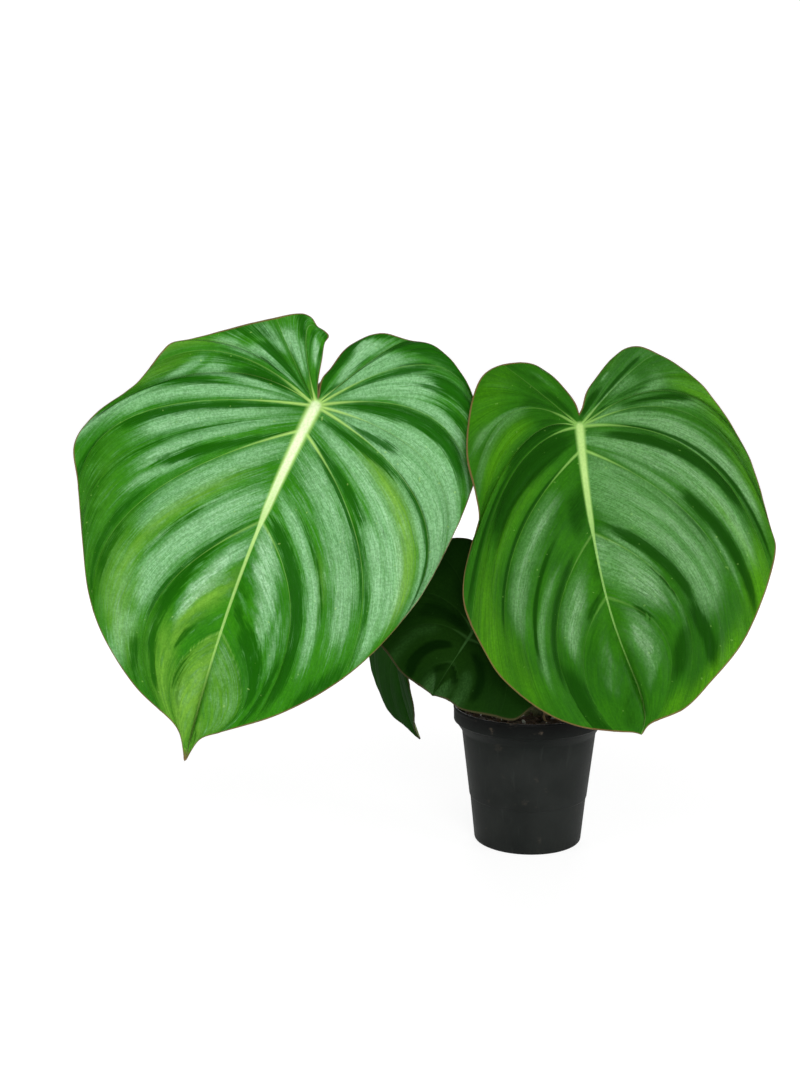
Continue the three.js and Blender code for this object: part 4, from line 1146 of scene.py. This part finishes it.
def leaf_panels(nodes, given, texture, dark, light, warm):
    """The green between the veins, with its bands of painted shade, painted sheen and glow, its
    mottles and a little dust.
    """
    streaky = nodes.maths("SUBTRACT", nodes.ramp(texture["streaks"], 0.35, 0.7), 0.5)
    tone = nodes.plus(nodes.ramp(texture["clouds"], 0.3, 0.7, 0.25, 0.75),
                      nodes.times(streaky, given["Streaks"]))
    green = nodes.blend(tone, given["Deep"], given["Fresh"])
    # In turn: painted sheen, the glows, painted shade, the grain's dark specks and pale dust
    for amount, colour in (
            (nodes.times(light, 0.9), "Pale"),
            (nodes.times(warm, 0.75), "Yellowish"),
            (nodes.times(dark, 0.9), "Dark"),
            (nodes.ramp(texture["grain"], 0.35, 0.65, 0.22, 0.0), "Dark"),
            (nodes.ramp(texture["dust"], 0.82, 0.87, 0.0, 0.3), "Vein")):
        green = nodes.blend(amount, green, given[colour])
    return green


def leaf_side_veins(nodes, given, mark, green):
    """Side veins: pale near the midrib, soon a thin green line."""
    along, down = mark["along"], mark["down"]
    width = nodes.ramp(along, 0.0, 0.2, 1.2, 0.3, smooth=False)
    line = nodes.ramp(nodes.maths("DIVIDE", mark["from_vein"], width), 0.1, 1.8, 1.0, 0.0)
    pale = nodes.times(nodes.ramp(along, 0.02, 0.24, 0.75, 0.0),
                       nodes.ramp(down, 0.05, 0.3, 1.0, 0.08))
    thin = nodes.times(nodes.ramp(along, 0.15, 0.9, 0.25, 0.1, smooth=False),
                       nodes.ramp(down, 0.4, 0.75, 1.0, 0.3))
    return nodes.blend(nodes.times(line, nodes.plus(pale, thin)), green, given["Vein"])


def leaf_midrib(nodes, given, mark, texture, green):
    """A wide pale strap as far as the third pair of veins, then a thin line to the tip."""
    down = mark["down"]
    width = nodes.times(given["Midrib width"], nodes.ramp(down, 0.0, 0.32, 1.0, 0.52, smooth=False),
                        nodes.ramp(down, 0.3, 0.38, 1.0, 0.45),
                        nodes.ramp(down, 0.38, 1.0, 1.0, 0.35, smooth=False))
    reach = nodes.maths("DIVIDE", mark["from_midrib"], width)
    strap = nodes.times(nodes.ramp(reach, 0.6, 1.5, 1.0, 0.0),
                        nodes.ramp(down, 0.3, 0.8, 1.0, 0.45, smooth=False))
    towards_vein = nodes.maths("MAXIMUM", nodes.ramp(down, 0.12, 0.45), nodes.ramp(reach, 0.3, 1.1))
    pale = nodes.blend(towards_vein, given["Midrib"], given["Vein"])
    pale = nodes.blend(nodes.ramp(texture["grain"], 0.4, 0.7, 0.0, 0.35), pale, given["Vein"])
    return strap, nodes.blend(strap, green, pale)


def leaf_margin(nodes, given, mark, green):
    """A thin reddish-brown edge, and a tip of that colour where a leaf has one."""
    tip = nodes.times(nodes.ramp(mark["down"], 0.965, 1.0), given["Tip"])
    edge = nodes.maths("MAXIMUM", nodes.ramp(mark["from_edge"], 0.3, 1.0, 0.75, 0.0), tip)
    return nodes.blend(edge, green, given["Margin"])


# Materials

def plain_material(name):
    material = bpy.data.materials.new(name)
    material.use_nodes = True
    nodes = Nodes(material.node_tree)
    shader = material.node_tree.nodes["Principled BSDF"]
    return material, nodes, shader.inputs


def upper_leaf(name, group, bump, specular, look):
    """The upper face of one blade: the shared pattern with that blade's colours and glossiness."""
    material, nodes, shader = plain_material(name)
    pattern = nodes.add("ShaderNodeGroup", look, node_tree=group).outputs
    nodes.plug(shader, {
        "Base Color": pattern["Color"], "Roughness": pattern["Roughness"],
        "Specular Tint": pattern["Shine"], "Specular IOR Level": specular,
        "Normal": nodes.relief(pattern["Height"], bump, 0.0006)})
    return material


def lower_leaf():
    """The paler, matte underside with its raised ribs."""
    material, nodes, shader = plain_material("leaf underside")
    streaks = nodes.noise(nodes.flow(), (3, 50, 1), 4.0, 0.6)
    tone = nodes.weighted((streaks, 0.5), (nodes.noise(nodes.place(), 30.0), 0.5))
    green = nodes.blend(nodes.ramp(tone, 0.35, 0.65), (0.055, 0.17, 0.035), (0.1, 0.26, 0.06))
    ribs = nodes.maths("MAXIMUM", nodes.ramp(nodes.attribute("from_vein"), 0.5, 1.6, 1.0, 0.0),
                       nodes.ramp(nodes.attribute("from_midrib"), 1.6, 3.4, 1.0, 0.0))
    green = nodes.blend(nodes.times(ribs, 0.8), green, (0.36, 0.46, 0.17))
    edge = nodes.ramp(nodes.attribute("from_edge"), 0.5, 1.3, 0.9, 0.0)
    nodes.plug(shader, {
        "Base Color": nodes.blend(edge, green, (0.4, 0.22, 0.13)), "Roughness": 0.6,
        "Normal": nodes.relief(streaks, 0.5, 0.0004)})
    return material


def petiole_skin():
    material, nodes, shader = plain_material("petiole skin")
    streaks = nodes.noise(nodes.flow("UVMap"), (14, 0.05, 1), 4.0, 0.6)
    skin = nodes.blend(nodes.ramp(streaks, 0.35, 0.65), (0.12, 0.16, 0.03), (0.27, 0.17, 0.07))
    nodes.plug(shader, {"Base Color": skin, "Roughness": 0.45})
    return material


def pot_plastic():
    """Dark recycled plastic with faint moulding streaks, scuffs and dried splashes of dirt, and
    painted shade on its rim.
    """
    material, nodes, shader = plain_material("pot plastic")
    place = nodes.place()
    height = nodes.add("ShaderNodeSeparateXYZ", {"Vector": place}).outputs["Z"]
    on_rim = nodes.ramp(height, 0.082, 0.096)
    clouds = nodes.noise(place, 32.0, 4.0, 0.6)
    streaks = nodes.noise(place, (420, 420, 33.6), 3.0, 0.6)
    scuffs = nodes.noise(place, (30, 30, 900), 3.0, 0.7)
    grain = nodes.noise(place, 2600.0, 2.0, 0.5)
    dirt = nodes.times(nodes.ramp(nodes.noise(place, 95.0, 6.0, 0.7), 0.6, 0.75),
                       nodes.plus(nodes.times(on_rim, 0.5), 0.18))
    colour = (0.006, 0.0075, 0.0065)
    for amount, over in (
            (nodes.ramp(clouds, 0.3, 0.7), (0.011, 0.013, 0.0115)),
            (nodes.ramp(streaks, 0.58, 0.75, 0.0, 0.35), (0.022, 0.025, 0.022)),
            # The rim goes nearly black: painted shade from the leaves above
            (nodes.times(on_rim, 0.8), (0.002, 0.002, 0.002)),
            (dirt, (0.12, 0.095, 0.07)),
            (nodes.ramp(scuffs, 0.7, 0.8, 0.0, 0.3), (0.11, 0.12, 0.11))):
        colour = nodes.blend(amount, colour, over)
    rough = nodes.plus(nodes.ramp(clouds, 0.3, 0.7, 0.42, 0.52), nodes.times(dirt, 0.3))
    bumps = nodes.weighted((streaks, 0.5), (grain, 0.5))
    nodes.plug(shader, {
        "Base Color": colour, "Roughness": rough, "Specular IOR Level": 0.16,
        # The reflection weakens towards the rim: painted shade from the leaves above
        "Specular Tint": nodes.ramp(height, 0.06, 0.09, 1.0, 0.3),
        "Normal": nodes.relief(bumps, 0.35, 0.0003)})
    return material


def crumbly(name, dark, light, scale, roughness):
    """Earth, bark, roots and other dry stuff: mottled colour and a rough surface."""
    material, nodes, shader = plain_material(name)
    place = nodes.place()
    mottle = nodes.noise(place, scale, 6.0, 0.65)
    fine = nodes.noise(place, 6 * scale, 4.0, 0.6)
    tone = nodes.ramp(nodes.weighted((mottle, 0.6), (fine, 0.4)), 0.38, 0.62)
    bumps = nodes.plus(mottle, nodes.times(fine, 0.5))
    nodes.plug(shader, {
        "Base Color": nodes.blend(tone, dark, light), "Roughness": roughness,
        "Normal": nodes.relief(bumps, 0.8, 0.0006)})
    return material


# Dry stuff: its dark and its light colour, how fine its mottles are, and its roughness
CRUMBLY = {
    "potting mix": ((0.012, 0.007, 0.004), (0.055, 0.03, 0.017), 260, 0.95),
    "bark": ((0.012, 0.006, 0.004), (0.07, 0.034, 0.018), 420, 0.95),
    "perlite": ((0.2, 0.19, 0.17), (0.5, 0.49, 0.46), 500, 0.95),
    "coir": ((0.05, 0.026, 0.012), (0.15, 0.09, 0.045), 600, 0.95),
    "stem bark": ((0.03, 0.035, 0.012), (0.13, 0.12, 0.05), 180, 0.7),
    "root skin": ((0.1, 0.055, 0.025), (0.26, 0.17, 0.08), 300, 0.7),
    "dry sheath": ((0.16, 0.09, 0.04), (0.38, 0.26, 0.13), 240, 0.6),
}
dry_stuff = {name: crumbly(name, *look) for name, look in CRUMBLY.items()}
pattern = leaf_pattern()
upper_faces = {name: upper_leaf(name.replace("_", " ") + " upper face", pattern, *face)
               for name, face in LEAF_FACES.items()}
underside = lower_leaf()
stalk_skin = petiole_skin()

# Leaves and petioles
for number, (name, leaf) in enumerate(LEAVES.items(), start=1):
    piece = blade(name, [upper_faces[name], underside])
    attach(piece, "root")
    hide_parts(name)
    stalk = petiole(f"petiole_{number}_skin", leaf, stalk_skin)
    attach(stalk, "root")
    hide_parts(f"petiole_{number}")

# Pot, potting mix and stem
filling = [
    (pot(pot_plastic()), "pot"),
    (potting_mix(dry_stuff["potting mix"]), "potting_mix"),
    (loose_bits("bark_chips", 330, dry_stuff["bark"], bark_chip), "potting_mix"),
    (loose_bits("perlite_grains", 70, dry_stuff["perlite"], perlite_grain), "potting_mix"),
    (loose_bits("coir_fibres", 46, dry_stuff["coir"], fibre), "potting_mix"),
    (stem(dry_stuff["stem bark"]), "stem"),
    (aerial_roots(dry_stuff["root skin"]), "stem"),
    (dry_sheaths(dry_stuff["dry sheath"]), "stem"),
]
for piece, node in filling:
    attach(piece, "root")
    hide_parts(node)


# Stage, light and camera, in metres but for the floor

FLOOR_RADIUS = 8000
MIDDLE = (-0.06, -0.03, 0.22)
# Each light: its place, what it is aimed at, its width and height, and its power
LIGHTS = {
    "window": ((0.24, -1.5, 0.74), (-0.16, -0.04, 0.25), (0.9, 0.75), 12),
    "high window": ((-0.06, -1.4, 1.1), (0.05, -0.04, 0.22), (0.6, 0.45), 3),
    "fill from the left": ((-1.5, -0.75, 0.35), MIDDLE, (1, 1), 14),
    "fill from the right": ((1.4, -0.75, 0.3), MIDDLE, (1, 1), 14),
    "fill from below": ((-0.05, -1, 0.06), MIDDLE, (1.2, 0.1), 2),
    "light from behind": ((0.1, 1.5, 0.8), MIDDLE, (1, 1), 9),
}
CAMERA = {"place": (-0.0903, -1.0677, 0.3876), "looks_down": 9, "lens": 53.1, "sensor": 36}


def softbox(name, place, aim, size, power):
    light = bpy.data.lights.new(name, "AREA")
    light.shape = "RECTANGLE"
    light.size, light.size_y = size
    light.energy = power
    lamp = bpy.data.objects.new(name, light)
    lamp.location = place
    lamp.rotation_euler = (Vector(aim) - Vector(place)).to_track_quat("-Z", "Y").to_euler()
    bpy.context.scene.collection.objects.link(lamp)


def pale_floor():
    """Near white to the camera apart from soft shadows, and a plain pale surface to the lights."""
    material, nodes, shader = plain_material("pale floor")
    nodes.plug(shader, {"Base Color": (0.88, 0.88, 0.88), "Roughness": 0.9})
    away = nodes.add("ShaderNodeVectorMath", {0: nodes.place()}, operation="LENGTH")
    strength = nodes.ramp(away.outputs["Value"], 0.1, 0.7, 1.2, 1.38)
    glow = nodes.add("ShaderNodeEmission", {"Strength": strength})
    seen = nodes.add("ShaderNodeLightPath").outputs["Is Camera Ray"]
    plain = material.node_tree.nodes["Principled BSDF"]
    mix = nodes.add("ShaderNodeMixShader", {
        0: nodes.times(seen, 0.7), 1: plain.outputs[0], 2: glow.outputs[0]})
    output = material.node_tree.nodes["Material Output"]
    nodes.plug(output.inputs, {"Surface": mix.outputs[0]})
    return material


def studio():
    bm = bmesh.new()
    bmesh.ops.create_circle(bm, cap_ends=True, segments=64, radius=FLOOR_RADIUS)
    floor = finish_mesh(bm, "floor", [pale_floor()], smooth=False)
    world = bpy.data.worlds.new("studio")
    world.use_nodes = True
    nodes = Nodes(world.node_tree)
    seen = nodes.add("ShaderNodeLightPath").outputs["Is Camera Ray"]
    nodes.plug(world.node_tree.nodes["Background"].inputs, {
        "Color": (1, 1, 1), "Strength": nodes.ramp(seen, 0.0, 1.0, 0.15, 1.05, smooth=False)})
    bpy.context.scene.world = world
    for name, light in LIGHTS.items():
        softbox(name, *light)
    bpy.context.scene.view_settings.view_transform = "Standard"


def camera():
    """The photograph's viewing angle, level with the leaves' middle."""
    view = bpy.data.cameras.new("camera")
    view.lens = CAMERA["lens"]
    view.sensor_width = CAMERA["sensor"]
    eye = bpy.data.objects.new("camera", view)
    eye.location = CAMERA["place"]
    eye.rotation_euler = (radians(90 - CAMERA["looks_down"]), 0, 0)
    bpy.context.scene.collection.objects.link(eye)
    bpy.context.scene.camera = eye


studio()
camera()
